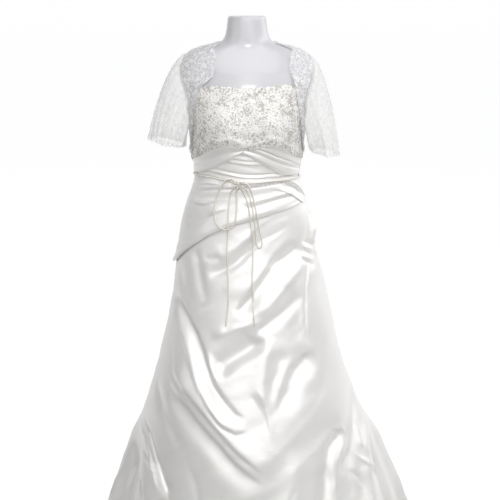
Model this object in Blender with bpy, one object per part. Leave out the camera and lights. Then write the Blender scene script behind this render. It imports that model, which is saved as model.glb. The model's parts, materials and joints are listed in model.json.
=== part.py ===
"""A wedding dress with a lace bolero on a limbless dress form.

Metres, +Z up, the front faces -Y and the viewer's right is +X. The origin is the middle of the
stand's underside, on the floor. A place on the dressed body is an angle in degrees, 0 at the
centre front and growing to the viewer's right, and a height.
"""

import math

import bpy
import numpy as np
from mathutils import Vector
from mathutils.bvhtree import BVHTree

for old in list(bpy.data.objects):
    bpy.data.objects.remove(old)

CLEAR = 0.0006  # from the form's nominal surface to the cloth on it
SEAM = 0.0004  # between two pieces that are sewn edge to edge

# The dressed body without the skirt's flare, section by section.
BODY = dict(
    height=(0.76, 0.80, 0.88, 0.94, 1.00, 1.04, 1.07, 1.10, 1.14, 1.20, 1.25, 1.29, 1.32, 1.34, 1.36, 1.375,
            1.385, 1.394, 1.403, 1.4105, 1.418, 1.424, 1.432, 1.45, 1.489),
    half_width=(0.164, 0.172, 0.176, 0.171, 0.155, 0.1405, 0.1350, 0.1385, 0.1435, 0.1490, 0.157, 0.169,
                0.178,
                0.1810, 0.179, 0.172, 0.164, 0.153, 0.136, 0.110, 0.082, 0.070, 0.0620, 0.0560, 0.0512),
    front=(0.096, 0.099, 0.100, 0.098, 0.094, 0.0905, 0.0895, 0.092, 0.097, 0.105, 0.103, 0.096, 0.087,
           0.079,
           0.072, 0.066, 0.062, 0.0585, 0.056, 0.054, 0.053, 0.0525, 0.0525, 0.052, 0.0505),
    back=(0.110, 0.117, 0.122, 0.115, 0.100, 0.090, 0.085, 0.087, 0.093, 0.101, 0.106, 0.108, 0.106, 0.102,
          0.096, 0.090, 0.086, 0.081, 0.075, 0.069, 0.063, 0.060, 0.057, 0.053, 0.0505),
    middle_y=(0.0, 0.0, 0.0, 0.0, 0.0, 0.0, 0.0, 0.0, 0.0, 0.0, 0.0, 0.0, 0.0, 0.0, 0.002, 0.004, 0.006,
              0.008,
              0.010, 0.011, 0.012, 0.012, 0.012, 0.012, 0.012),
)

# How far the skirt stands away from a plumb line, section by section.
SKIRT = dict(
    height=(0.00, 0.10, 0.185, 0.257, 0.329, 0.40, 0.471, 0.541, 0.611, 0.679, 0.748, 0.80, 0.85, 0.88,
            0.94,
            1.00, 1.04, 1.07, 1.11),
    half_width=(0.448, 0.417, 0.386, 0.356, 0.328, 0.305, 0.280, 0.2565, 0.238, 0.2225, 0.2085, 0.1985,
                0.189,
                0.1845, 0.1745, 0.1575, 0.1435, 0.1370, 0.1400),
    front=(0.350, 0.322, 0.296, 0.274, 0.252, 0.230, 0.210, 0.191, 0.172, 0.156, 0.140, 0.128, 0.115, 0.107,
           0.099, 0.0945, 0.0910, 0.0900, 0.0940),
    back=(0.520, 0.466, 0.415, 0.372, 0.330, 0.295, 0.262, 0.230, 0.200, 0.176, 0.158, 0.146, 0.134, 0.127,
          0.116, 0.1005, 0.0905, 0.0855, 0.0890),
    middle_x=(0.0235, 0.0240, 0.0240, 0.021, 0.0190, 0.0155, 0.0125, 0.0100, 0.0085, 0.0095, 0.008, 0.005,
              0.000,
              -0.001, -0.0015, -0.002, -0.0015, -0.001, 0.0),
)

# Lines round the body: angle, height.
WAIST = ((-180, 1.068), (-90, 1.0715), (-50, 1.0715), (-25, 1.066), (-8, 1.0600), (5, 1.0585), (20, 1.061),
         (40, 1.0635),
         (90, 1.064), (180, 1.068))
LACE_HEM = ((-180, 1.118), (-120, 1.114), (-88, 1.113), (-57, 1.129), (-40, 1.150), (-30, 1.160),
            (-20, 1.168), (-13, 1.166),
            (-8, 1.157), (0, 1.153), (8, 1.153), (15, 1.160), (24, 1.166), (34, 1.161), (46, 1.144),
            (62, 1.126), (82, 1.117), (120, 1.114), (180, 1.118))
NECKLINE = ((-180, 1.236), (-120, 1.240), (-90, 1.250), (-68, 1.272), (-52, 1.294), (-44, 1.308),
            (-37, 1.3135), (-20, 1.311),
            (0, 1.3075), (20, 1.3115), (33, 1.316), (44, 1.3155), (52, 1.300), (68, 1.274), (90, 1.250),
            (120, 1.240),
            (180, 1.236))
WRAP_EDGE = ((-180, 0.885), (-135, 0.852), (-112, 0.834), (-94, 0.826), (-82, 0.832), (-68, 0.852),
             (-52, 0.885), (-32, 0.921),
             (-12, 0.945), (4, 0.958), (25, 0.975), (42, 0.985), (60, 0.995), (75, 1.003), (92, 1.004),
             (120, 0.985), (150, 0.938), (180, 0.885))

# Edges of the skirt's panels: height, angle.
FRONT_LEFT = ((0.0, -30), (0.14, -38), (0.25, -49), (0.36, -61), (0.43, -70), (0.50, -80), (0.60, -87),
              (0.75, -88), (1.1, -88))
FRONT_RIGHT = ((0.0, 30), (0.23, 34), (0.42, 38), (0.585, 42), (0.66, 49), (0.76, 57), (0.83, 64),
               (0.90, 66), (1.1, 66))

# Folds of the skirt: half width, height (a trough is below zero), then the line's angle and height.
FOLDS = (
    (0.0125, -0.0070, ((-36, 0.817), (-27, 0.826), (-16, 0.842), (-7, 0.861), (1, 0.890), (9, 0.919),
        (23, 0.938), (39, 0.953))),
    (0.0130, 0.0040, ((-32, 0.886), (-19, 0.873), (-9, 0.890), (0, 0.913), (12, 0.940))),
    (0.0140, -0.0090, ((46, 0.912), (35, 0.885), (24, 0.856), (14, 0.824), (5, 0.791), (-2, 0.761),
        (-8, 0.734), (-12, 0.719))),
    (0.0180, -0.0060, ((54, 0.880), (38, 0.873), (25, 0.853), (17, 0.828))),
    (0.0150, 0.0050, ((57, 0.855), (40, 0.822), (24, 0.781), (12, 0.737), (2, 0.704))),
    (0.0260, -0.0130, ((-25, 0.579), (-20, 0.592), (-14, 0.612), (-7, 0.631), (1, 0.654), (8, 0.676))),
    (0.0140, -0.0065, ((0, 0.655), (7, 0.677), (17, 0.703), (28, 0.730), (42, 0.766))),
    (0.0150, 0.0050, ((-28, 0.657), (-16, 0.676), (-4, 0.693), (6, 0.723))),
    (0.0200, -0.0120, ((45, 0.614), (35, 0.601), (27, 0.578), (22, 0.548), (17, 0.509), (12, 0.463))),
    (0.0150, -0.0050, ((25, 0.628), (18, 0.585), (13, 0.534), (10, 0.490))),
    (0.0180, 0.0060, ((15, 0.661), (9, 0.602), (6, 0.543), (8, 0.475))),
    (0.0150, -0.0125, ((-90, 0.766), (-62, 0.742), (-49, 0.702), (-38, 0.661), (-30, 0.618),
        (-25, 0.575), (-20, 0.536), (-13, 0.500), (-7, 0.472), (0, 0.454))),
    (0.0125, 0.0075, ((-63, 0.701), (-48, 0.648), (-37, 0.592), (-29, 0.539), (-22, 0.493),
        (-15, 0.457), (-7, 0.436), (1, 0.433))),
    (0.0200, 0.0095, ((-60, 0.582), (-47, 0.547), (-35, 0.512), (-25, 0.473), (-15, 0.425), (-7, 0.382),
        (1, 0.344), (8, 0.305))),
    (0.0180, -0.0085, ((-60, 0.532), (-48, 0.499), (-37, 0.465), (-27, 0.425), (-17, 0.380),
        (-9, 0.335), (-1, 0.300), (4, 0.278))),
    (0.0850, 0.0140, ((-54, 0.612), (-37, 0.546), (-22, 0.479), (-9, 0.416), (3, 0.358), (14, 0.304))),
    (0.0125, -0.0060, ((-49, 0.893), (-43, 0.845), (-39, 0.792), (-34, 0.732))),
    (0.0120, -0.0040, ((-70, 0.834), (-61, 0.782), (-50, 0.740))),
    (0.0200, -0.0050, ((30, 0.795), (35, 0.747), (35, 0.685), (38, 0.622))),
    (0.0140, -0.0050, ((62, 0.394), (48, 0.386), (39, 0.357), (33, 0.314))),
    (0.0140, -0.0060, ((-55, 0.319), (-47, 0.290), (-41, 0.252), (-39, 0.232))),
    (0.0160, -0.0040, ((-75, 0.521), (-58, 0.466), (-46, 0.416), (-33, 0.351))),
    (0.0240, -0.0080, ((36, 0.340), (28, 0.230), (20, 0.080))),
    (0.0280, 0.0080, ((22, 0.380), (14, 0.240), (8, 0.060))),
    (0.0260, -0.0070, ((84, 0.500), (62, 0.400), (46, 0.300), (40, 0.150))),
    (0.0320, 0.0130, ((96, 0.440), (66, 0.330), (54, 0.200), (50, 0.020))),
    (0.0260, -0.0160, ((82, 0.400), (74, 0.290), (68, 0.160), (66, 0.020))),
    (0.0340, 0.0260, ((100, 0.420), (92, 0.280), (86, 0.150), (84, 0.010))),
    (0.0340, -0.0220, ((112, 0.450), (108, 0.280), (104, 0.010))),
    (0.0400, 0.0200, ((126, 0.500), (124, 0.280), (122, 0.010))),
    (0.0400, -0.0220, ((144, 0.560), (142, 0.280), (141, 0.010))),
    (0.0440, 0.0200, ((162, 0.560), (160, 0.280), (159, 0.010))),
    (0.0440, 0.0200, ((-164, 0.560), (-161, 0.280), (-160, 0.010))),
    (0.0400, -0.0220, ((-146, 0.560), (-143, 0.280), (-141, 0.010))),
    (0.0400, 0.0200, ((-128, 0.500), (-124, 0.280), (-121, 0.010))),
    (0.0360, -0.0200, ((-112, 0.440), (-105, 0.280), (-101, 0.010))),
    (0.0360, 0.0160, ((-98, 0.400), (-86, 0.260), (-80, 0.010))),
    (0.0300, -0.0150, ((-84, 0.350), (-68, 0.240), (-58, 0.010))),
    (0.0300, 0.0110, ((-60, 0.300), (-46, 0.160), (-38, 0.010))),
    (0.0260, -0.0080, ((-16, 0.200), (-14, 0.110), (-13, 0.010))),
    (0.0240, 0.0090, ((104, 0.950), (92, 0.932), (80, 0.925), (70, 0.935))),
    (0.0120, 0.0050, ((80, 0.955), (72, 0.900), (78, 0.845))),
    (0.0100, -0.0050, ((92, 0.900), (80, 0.872), (68, 0.868))),
)

# Folds of the hip wrap, in the same columns.
WRAP_FOLDS = (
    (0.007, 0.0030, ((-90, 1.030), (-40, 1.032), (0, 1.030), (30, 1.040), (60, 1.052))),
    (0.010, 0.0035, ((-90, 0.985), (-45, 0.990), (-10, 1.005), (30, 1.020), (70, 1.040))),
    (0.010, 0.0035, ((-90, 0.935), (-50, 0.945), (-12, 0.978), (30, 1.000), (75, 1.022))),
    (0.011, 0.0040, ((-92, 0.885), (-60, 0.905), (-22, 0.950), (20, 0.986), (60, 1.006))),
    (0.012, 0.0070, ((-112, 0.838), (-94, 0.828), (-80, 0.840), (-64, 0.864), (-36, 0.922), (0, 0.965))),
    (0.012, 0.0040, ((-130, 0.900), (-175, 0.950))),
    (0.012, 0.0040, ((130, 1.010), (175, 0.975))),
)

# Heights of the midriff's pleats at the centre front: height above the waist, share of a pleat.
PLEATS = ((0.0, 0.2), (0.012, 0.0), (0.015, 1.0), (0.024, 0.0), (0.027, 1.0), (0.048, 0.0), (0.051, 1.0),
          (0.060, 0.0),
          (0.063, 0.8))


def column(table, name, height):
    """A column of a section table at any heights, with no overshoot between the sections."""
    x, y = np.array(table["height"], float), np.array(table[name], float)
    step = np.diff(x)
    slope = np.diff(y) / step
    at = np.zeros_like(y)
    same = slope[:-1] * slope[1:] > 0
    before, after = 2 * step[1:] + step[:-1], step[1:] + 2 * step[:-1]
    safe = np.where(same, slope[:-1], 1.0), np.where(same, slope[1:], 1.0)
    at[1:-1] = np.where(same, (before + after) / (before / safe[0] + after / safe[1]), 0.0)
    at[0], at[-1] = slope[0], slope[-1]
    height = np.asarray(height, float)
    i = np.clip(np.searchsorted(x, height) - 1, 0, len(step) - 1)
    t = np.clip((height - x[i]) / step[i], 0, 1)
    return ((1 + 2 * t) * (1 - t) ** 2 * y[i] + t * (1 - t) ** 2 * step[i] * at[i] + t * t * (3 - 2 * t) * y[i + 1]
            + t * t * (t - 1) * step[i] * at[i + 1])


def along(line, at):
    """A line's second number where its first number is at."""
    line = np.array(line, float)
    return np.interp(at, line[:, 0], line[:, 1])


def smooth(low, high, value):
    t = np.clip((np.asarray(value, float) - low) / (high - low), 0, 1)
    return t * t * (3 - 2 * t)


def place(section, angle, height):
    """Points of the smooth body or skirt."""
    angle, height = np.broadcast_arrays(np.asarray(angle, float), np.asarray(height, float))
    turn = np.radians(angle)
    front, back = column(section, "front", height), column(section, "back", height)
    x = column(section, "half_width", height) * np.sin(turn)
    y = -np.where(np.cos(turn) > 0, front, back) * np.cos(turn)
    if "middle_x" in section:
        x = x + column(section, "middle_x", height)
    if "middle_y" in section:
        y = y + column(section, "middle_y", height)
        for bust in (-0.072, 0.072):
            y = y - 0.024 * np.exp(-((x - bust) / 0.058) ** 2 - ((height - 1.205) / 0.056) ** 2) * (np.cos(turn) > 0)
    return np.stack([x, y, height], -1)


def outward(section, angle, height):
    """Unit vectors that point out of the body."""
    angle, height = np.asarray(angle, float), np.asarray(height, float)
    round_it = place(section, angle + 0.3, height) - place(section, angle - 0.3, height)
    low, high = np.maximum(height - 0.0015, section["height"][0]), np.minimum(height + 0.0015,
                                                                              section["height"][-1])
    up = place(section, angle, high) - place(section, angle, low)
    n = np.cross(round_it, up)
    if "middle_x" in section:
        # The skirt's folds and walls stay level.
        n = n * np.array([1.0, 1.0, 0.0])
    return n / np.maximum(np.linalg.norm(n, axis=-1, keepdims=True), 1e-12)


def raised(section, angle, height, off):
    off = np.asarray(off, float)
    return place(section, angle, height) + outward(section, angle, height) * off[..., None]


def folds(table, section, angle, height):
    """How far the folds raise the cloth, summed."""
    radius = column(section, "half_width", height) * 0.9
    total = np.zeros(np.broadcast(angle, height).shape)
    for width, rise, line in table:
        line = np.array(line, float)
        width, rise = (max(1.25 * width, 0.023), 0.85 * rise) if table is FOLDS else (width, rise)
        best = np.full(total.shape, 1e9)
        where = np.zeros(total.shape)
        runs = len(line) - 1
        for i in range(runs):
            # Both ends are measured from the point along the cloth.
            du, dv = np.radians(line[i + 1, 0] - line[i, 0]) * radius, line[i + 1, 1] - line[i, 1]
            pu, pv = np.radians(angle - line[i, 0]) * radius, height - line[i, 1]
            t = np.clip((pu * du + pv * dv) / (du * du + dv * dv), 0, 1)
            d = np.hypot(pu - t * du, pv - t * dv)
            where = np.where(d < best, (i + t) / runs, where)
            best = np.minimum(best, d)
        open_end = line[-1, 1] < 0.03
        fade = smooth(0, 0.22, where) * (1.0 if open_end else smooth(0, 0.22, 1 - where))
        total = total + rise * np.exp(-((best / width) ** 2)) * (0.15 + 0.85 * fade)
    return total


def solid(name, verts, faces, slot):
    """A closed mesh with its faces turned outward."""
    v = np.array(verts, float)
    f = np.array(faces, int)
    volume = float((v[f[:, 0]] * np.cross(v[f[:, 1]], v[f[:, 2]])).sum() / 6)
    if volume < 0:
        f = f[:, ::-1]
    mesh = bpy.data.meshes.new(name)
    mesh.from_pydata(v.tolist(), [], f.tolist())
    mesh.update()
    obj = bpy.data.objects.new(name, mesh)
    bpy.context.collection.objects.link(obj)
    mesh.materials.append(slot)
    return obj


def wall(name, outer, inner, slot, closed=False):
    """Cloth between two grids of points, closed along its edges, or a ring if closed."""
    rows, cols = outer.shape[:2]
    verts = np.concatenate([outer.reshape(-1, 3), inner.reshape(-1, 3)])
    back = rows * cols
    faces = []
    last = cols if closed else cols - 1
    for r in range(rows - 1):
        for c in range(last):
            d = (c + 1) % cols
            a, b, e, g = r * cols + c, r * cols + d, (r + 1) * cols + d, (r + 1) * cols + c
            faces += [(a, b, e), (a, e, g), (back + a, back + e, back + b), (back + a, back + g, back + e)]
    for c in range(last):
        d = (c + 1) % cols
        a, b = c, d
        faces += [(a, back + b, b), (a, back + a, back + b)]
        a, b = (rows - 1) * cols + c, (rows - 1) * cols + d
        faces += [(a, b, back + b), (a, back + b, back + a)]
    if not closed:
        for r in range(rows - 1):
            a, b = r * cols, (r + 1) * cols
            faces += [(a, b, back + b), (a, back + b, back + a)]
            a, b = r * cols + cols - 1, (r + 1) * cols + cols - 1
            faces += [(a, back + b, b), (a, back + a, back + b)]
    return solid(name, verts, faces, slot)


def stack(name, rings, slot):
    """A solid body through rings, with a flat cap at each end."""
    rings = np.array(rings, float)
    rows, cols = rings.shape[:2]
    verts = list(rings.reshape(-1, 3)) + [rings[0].mean(0), rings[-1].mean(0)]
    faces = []
    for r in range(rows - 1):
        for c in range(cols):
            d = (c + 1) % cols
            a, b, e, g = r * cols + c, r * cols + d, (r + 1) * cols + d, (r + 1) * cols + c
            faces += [(a, b, e), (a, e, g)]
    for c in range(cols):
        d = (c + 1) % cols
        faces += [(rows * cols, d, c), (rows * cols + 1, (rows - 1) * cols + c, (rows - 1) * cols + d)]
    return solid(name, verts, faces, slot)


def turned(name, profile, sides, slot, middle=(0.0, 0.0)):
    """A round solid from radius and height pairs."""
    turn = np.linspace(0, 2 * math.pi, sides, endpoint=False)
    rings = [np.stack([middle[0] + r * np.cos(turn), middle[1] + r * np.sin(turn), np.full(sides, z)], -1)
             for r, z in profile]
    return stack(name, rings, slot)


def grid(section, left, right, low, high, cols, rows):
    """Angles and heights of a panel's grid between two side lines and two level lines."""
    u = np.linspace(0, 1, cols)[None, :]
    v = np.asarray(rows, float)[:, None]
    height = v * 1.0 + 0 * u
    angle = 0 * v + 0 * u
    for _ in range(12):
        angle = left(height) * (1 - u) + right(height) * u
        height = low(angle) * (1 - v) + high(angle) * v
    return angle, height


def material(name, colour, roughness, metallic=0.0):
    slot = bpy.data.materials.new(name)
    slot.use_nodes = True
    shader = slot.node_tree.nodes["Principled BSDF"]
    shader.inputs["Base Color"].default_value = (*colour, 1.0)
    shader.inputs["Roughness"].default_value = roughness
    shader.inputs["Metallic"].default_value = metallic
    return slot


SATIN = material("satin", (0.90, 0.88, 0.85), 0.38)
BEADED = material("beaded_lace", (0.80, 0.78, 0.73), 0.6)
NET = material("net_lace", (0.86, 0.86, 0.87), 0.8)
CORD = material("satin_cord", (0.93, 0.92, 0.90), 0.4)
GLOSS = material("form_shell", (0.86, 0.86, 0.89), 0.15)
STAND = material("stand_metal", (0.85, 0.85, 0.86), 0.35, 0.2)


def fixed(value):
    return lambda at: np.full(np.shape(at), float(value))


def level(line, shift=0.0):
    return lambda at: along(line, at) + shift


# The form, its pole and its base.
around = np.linspace(-180, 180, 28, endpoint=False)
heights = (0.765, 0.80, 0.84, 0.88, 0.92, 0.96, 1.00, 1.035, 1.07, 1.10, 1.135, 1.17, 1.205, 1.24, 1.275,
           1.305,
           1.33, 1.35, 1.368, 1.383, 1.394, 1.403, 1.411, 1.42, 1.432, 1.45, 1.486, 1.489)
rings = []
for z in heights:
    ring = raised(BODY, around, np.full(28, z), np.full(28, -0.0016 if z < 1.34 else -0.0009))
    if z in (heights[0], heights[-1]):
        ring = ring * np.array([0.94, 0.94, 1.0]) + np.array([0, 0.012 * 0.06 if z > 1 else 0, 0])
    rings.append(ring)
stack("form_body", rings, GLOSS)
turned("form_pole", ((0.0125, 0.0223), (0.0125, 0.40), (0.0125, 0.7650)), 12, STAND)
turned("form_base", ((0.165, 0.0), (0.170, 0.003), (0.170, 0.012), (0.160, 0.018), (0.030, 0.022)), 22,
       STAND)


def skirt_top(angle):
    return along(WRAP_EDGE, angle) + 0.026


def skirt_low(angle):
    """The hem clears the floor a little at the front and lies lower at the back."""
    return 0.010 - 0.006 * smooth(90, 160, np.abs(angle))


def skirt_off(angle, height, panel):
    """The skirt's inner face above the smooth skirt; the front panel stands a little proud low down."""
    below = smooth(0.0, 0.030, skirt_top(angle) - 0.020 - height)
    lift = 0.004 * smooth(0.50, 0.36, height) if panel == "front" else 0.0
    off = 0.0010 + below * (folds(FOLDS, SKIRT, angle, height) + lift)
    room = np.linalg.norm(place(SKIRT, angle, height) - place(BODY, angle, height), axis=-1)
    return np.where(height > 0.755, np.maximum(off, 0.0016 - room), off)


SKIRT_WALL = 0.0018
skirt_rows = (0, 0.075, 0.15, 0.22, 0.285, 0.345, 0.40, 0.45, 0.50, 0.55, 0.595, 0.64, 0.685, 0.725, 0.765,
              0.805,
              0.845, 0.885, 0.925, 0.965, 1.0)


def skirt_panel(name, left, right, cols, panel="other"):
    angle, height = grid(SKIRT, left, right, skirt_low, skirt_top, cols, skirt_rows)
    gap = np.degrees(SEAM / 2 / column(SKIRT, "half_width", height))
    angle = angle + gap * np.linspace(1, -1, cols)[None, :]
    off = skirt_off(angle, height, panel)
    wall(name, raised(SKIRT, angle, height, off + SKIRT_WALL), raised(SKIRT, angle, height, off), SATIN)


skirt_panel("skirt_front", level(FRONT_LEFT), level(FRONT_RIGHT), 30, "front")
skirt_panel("skirt_side_left", fixed(-122), level(FRONT_LEFT), 10)
skirt_panel("skirt_side_right", level(FRONT_RIGHT), fixed(120), 12)
skirt_panel("skirt_back_left", fixed(-180), fixed(-122), 8)
skirt_panel("skirt_back_right", fixed(120), fixed(180), 8)


def wrap_off(angle, height):
    """The wrap's inner face: close to the form at the waist and over the skirt's top at its edge."""
    over = smooth(0.062, 0.038, height - along(WRAP_EDGE, angle))
    return 0.0008 + over * 0.0034 + folds(WRAP_FOLDS, SKIRT, angle, height)


WRAP_WALL = 0.0017


def wrap_panel(name, left, right, cols, rows):
    angle, height = grid(SKIRT, fixed(left), fixed(right), level(WRAP_EDGE), level(WAIST, -0.0004), cols,
                         rows)
    gap = np.degrees(SEAM / 2 / 0.15)
    angle = angle + gap * np.linspace(1, -1, cols)[None, :]
    off = wrap_off(angle, height)
    wall(name, raised(SKIRT, angle, height, off + WRAP_WALL), raised(SKIRT, angle, height, off), SATIN)


wrap_panel("wrap_front", -96, 92, 29, (0, 0.10, 0.22, 0.35, 0.48, 0.61, 0.74, 0.87, 1.0))
wrap_panel("wrap_back_left", -180, -96, 11, (0, 0.10, 0.22, 0.48, 0.74, 1.0))
wrap_panel("wrap_back_right", 92, 180, 11, (0, 0.10, 0.22, 0.48, 0.74, 1.0))


def midriff_panel(name, left, right, cols, pleated):
    u = np.linspace(0, 1, cols)
    angle = left + (right - left) * u
    angle = angle + np.degrees(SEAM / 2 / 0.14) * np.linspace(1, -1, cols)
    low = along(WAIST, angle) + 0.0004
    high = along(LACE_HEM, angle) + 0.003
    if pleated:
        rise, share = np.array(PLEATS).T
        # The pleats keep their heights and are cut off by the slanting bands at the sides.
        rows = np.concatenate([rise / 0.0635 * 0.72, [0.86, 1.0]])
        share = np.concatenate([share, [0.3, 0.0]])
    else:
        rows, share = np.array([0, 0.35, 0.7, 1.0]), np.zeros(4)
    height = low[None, :] + (high - low)[None, :] * rows[:, None]
    angle = angle[None, :] + 0 * height
    fade = smooth(92, 70, np.abs(angle))
    off = 0.0007 + share[:, None] * 0.0012 * fade
    wall(name, raised(BODY, angle, height, off + 0.0012),
         raised(BODY, angle, height, np.full(off.shape, 0.0007)), SATIN)


midriff_panel("midriff_front", -90, 90, 21, True)
midriff_panel("midriff_back_left", -180, -90, 8, False)
midriff_panel("midriff_back_right", 90, 180, 8, False)


def bodice_panel(name, left, right, cols, rows):
    u = np.linspace(0, 1, cols)
    angle = left + (right - left) * u
    angle = angle + np.degrees(SEAM / 2 / 0.15) * np.linspace(1, -1, cols)
    # Small scallops on the lower edge, one for each pair of columns.
    dip = 0.0022 * np.where(np.arange(cols) % 2, -1.0, 1.0)
    low, high = along(LACE_HEM, angle), along(NECKLINE, angle)
    height = []
    for r in rows:
        if r <= 0.03:
            height.append(low + r + dip * (r == 0))
        else:
            height.append(low + 0.03 + (high - low - 0.03) * (r - 0.03) / 0.97)
    height = np.array(height)
    angle = angle[None, :] + 0 * height
    flap = smooth(0.027, 0.012, height - low[None, :])
    off = CLEAR + 0.0056 * flap
    # Fine raised pattern of the beading.
    bead = 0.0007 * (0.5 + 0.5 * np.sin(np.radians(angle) * 33 + height * 90) * np.sin(height * 210 - np.radians(angle) * 9))
    wall(name, raised(BODY, angle, height, off + 0.0018 + bead), raised(BODY, angle, height, off), BEADED)


bodice_panel("bodice_front", -88, 88, 27, (0, 0.011, 0.028, 0.18, 0.34, 0.50, 0.66, 0.83, 1.0))
bodice_panel("bodice_back_left", -180, -88, 10, (0, 0.011, 0.028, 0.35, 0.68, 1.0))
bodice_panel("bodice_back_right", 88, 180, 10, (0, 0.011, 0.028, 0.35, 0.68, 1.0))


# Bands: angle and height of the lower edge, then of the upper edge.
BANDS = dict(
    band_left=((-89, 1.0790, -89, 1.1170), (-76, 1.0795, -73, 1.1240), (-64, 1.0810, -58, 1.1330),
               (-50, 1.0880, -44, 1.1500),
               (-38, 1.0960, -33, 1.1610), (-28, 1.1090, -24, 1.1685), (-20, 1.1195, -16, 1.1715),
               (-13, 1.1290, -11, 1.1655),
               (-7.5, 1.1375, -7, 1.1600), (-4.2, 1.1425, -4.6, 1.1560)),
    band_right_lower=((-3.4, 1.1405, -3.8, 1.1550), (1, 1.1325, 2, 1.1550), (8, 1.1215, 9, 1.1545),
                      (16, 1.1100, 16, 1.1485),
                      (25, 1.0975, 23, 1.1405), (33, 1.0860, 32, 1.1300), (42, 1.0760, 44, 1.1200),
                      (54, 1.0730, 56, 1.1100),
                      (68, 1.0730, 70, 1.1000), (80, 1.0730, 80, 1.0960), (89, 1.0730, 89, 1.0950)),
    band_right_upper=((10.4, 1.1550, 11, 1.1590), (17, 1.1492, 17, 1.1655), (24, 1.1410, 24, 1.1700),
                      (33, 1.1302, 34, 1.1650),
                      (44.5, 1.1207, 46, 1.1480), (56.5, 1.1107, 62, 1.1300), (70, 1.1009, 76, 1.1220),
                      (80, 1.0968, 83, 1.1200),
                      (89, 1.0958, 89, 1.1190)),
)


def band(name, stations):
    line = np.array(stations, float)
    rows = np.array([0.0, 0.12, 0.62, 1.0])
    angle = line[:, 0][None, :] * (1 - rows[:, None]) + line[:, 2][None, :] * rows[:, None]
    height = line[:, 1][None, :] * (1 - rows[:, None]) + line[:, 3][None, :] * rows[:, None]
    roll = np.array([0.0, 0.0009, 0.0004, 0.0])[:, None]
    off = 0.0042 + roll + 0 * angle
    wall(name, raised(BODY, angle, height, off + 0.0011), raised(BODY, angle, height, off), SATIN)


for band_name, band_stations in BANDS.items():
    band(band_name, band_stations)


# The bolero: front edges and how far each armhole opens either side of the body's side.
BOLERO_LEFT = ((1.130, -78), (1.163, -76), (1.195, -68), (1.233, -61), (1.265, -54.5), (1.297, -46),
               (1.315, -39),
               (1.327, -32), (1.345, -27), (1.391, -29), (1.404, -40), (1.414, -52), (1.420, -60))
BOLERO_RIGHT = ((1.122, 84), (1.151, 79), (1.194, 68), (1.235, 61), (1.276, 51), (1.312, 44), (1.338, 40),
                (1.358, 37),
                (1.388, 43), (1.402, 58), (1.411, 64), (1.420, 68))
ARMHOLE = ((1.196, 0), (1.203, 11), (1.222, 19), (1.26, 26), (1.30, 28), (1.34, 24), (1.366, 16),
           (1.380, 9), (1.388, 0))


def bolero_off(angle, height):
    """Over the bodice below its neckline, and on the form above it."""
    return 0.0017 + 0.0046 * smooth(1.338, 1.320, height) + 0.0042 * smooth(1.156, 1.142, height)


def bolero_rows(low, high):
    near = np.array([1.128, 1.143, 1.157, 1.196, 1.203, 1.222, 1.260, 1.30, 1.320, 1.340, 1.366, 1.380,
                     1.388, 1.397,
                     1.405, 1.413, 1.420])
    return near[(near >= low - 1e-9) & (near <= high + 1e-9)]


def bolero_panel(name, side, cols):
    rows = bolero_rows(1.128, 1.420)[:, None]
    u = np.linspace(0, 1, cols)[None, :]
    open_by = along(ARMHOLE, rows)
    inside = (rows > 1.196) & (rows < 1.388)
    seam = np.degrees(SEAM / 2 / 0.15)
    if side == "left":
        first, last = -90 + np.where(inside, open_by, seam), along(BOLERO_LEFT, rows)
    elif side == "right":
        first, last = along(BOLERO_RIGHT, rows), 90 - np.where(inside, open_by, seam)
    else:
        first, last = 90 + np.where(inside, open_by, seam), 270 - np.where(inside, open_by, seam)
    angle = first * (1 - u) + last * u
    height = rows + 0 * u
    off = bolero_off(angle, height)
    wall(name, raised(BODY, angle, height, off + 0.0014), raised(BODY, angle, height, off), NET)


bolero_panel("bolero_front_left", "left", 6)
bolero_panel("bolero_front_right", "right", 6)
bolero_panel("bolero_back", "back", 14)


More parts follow.
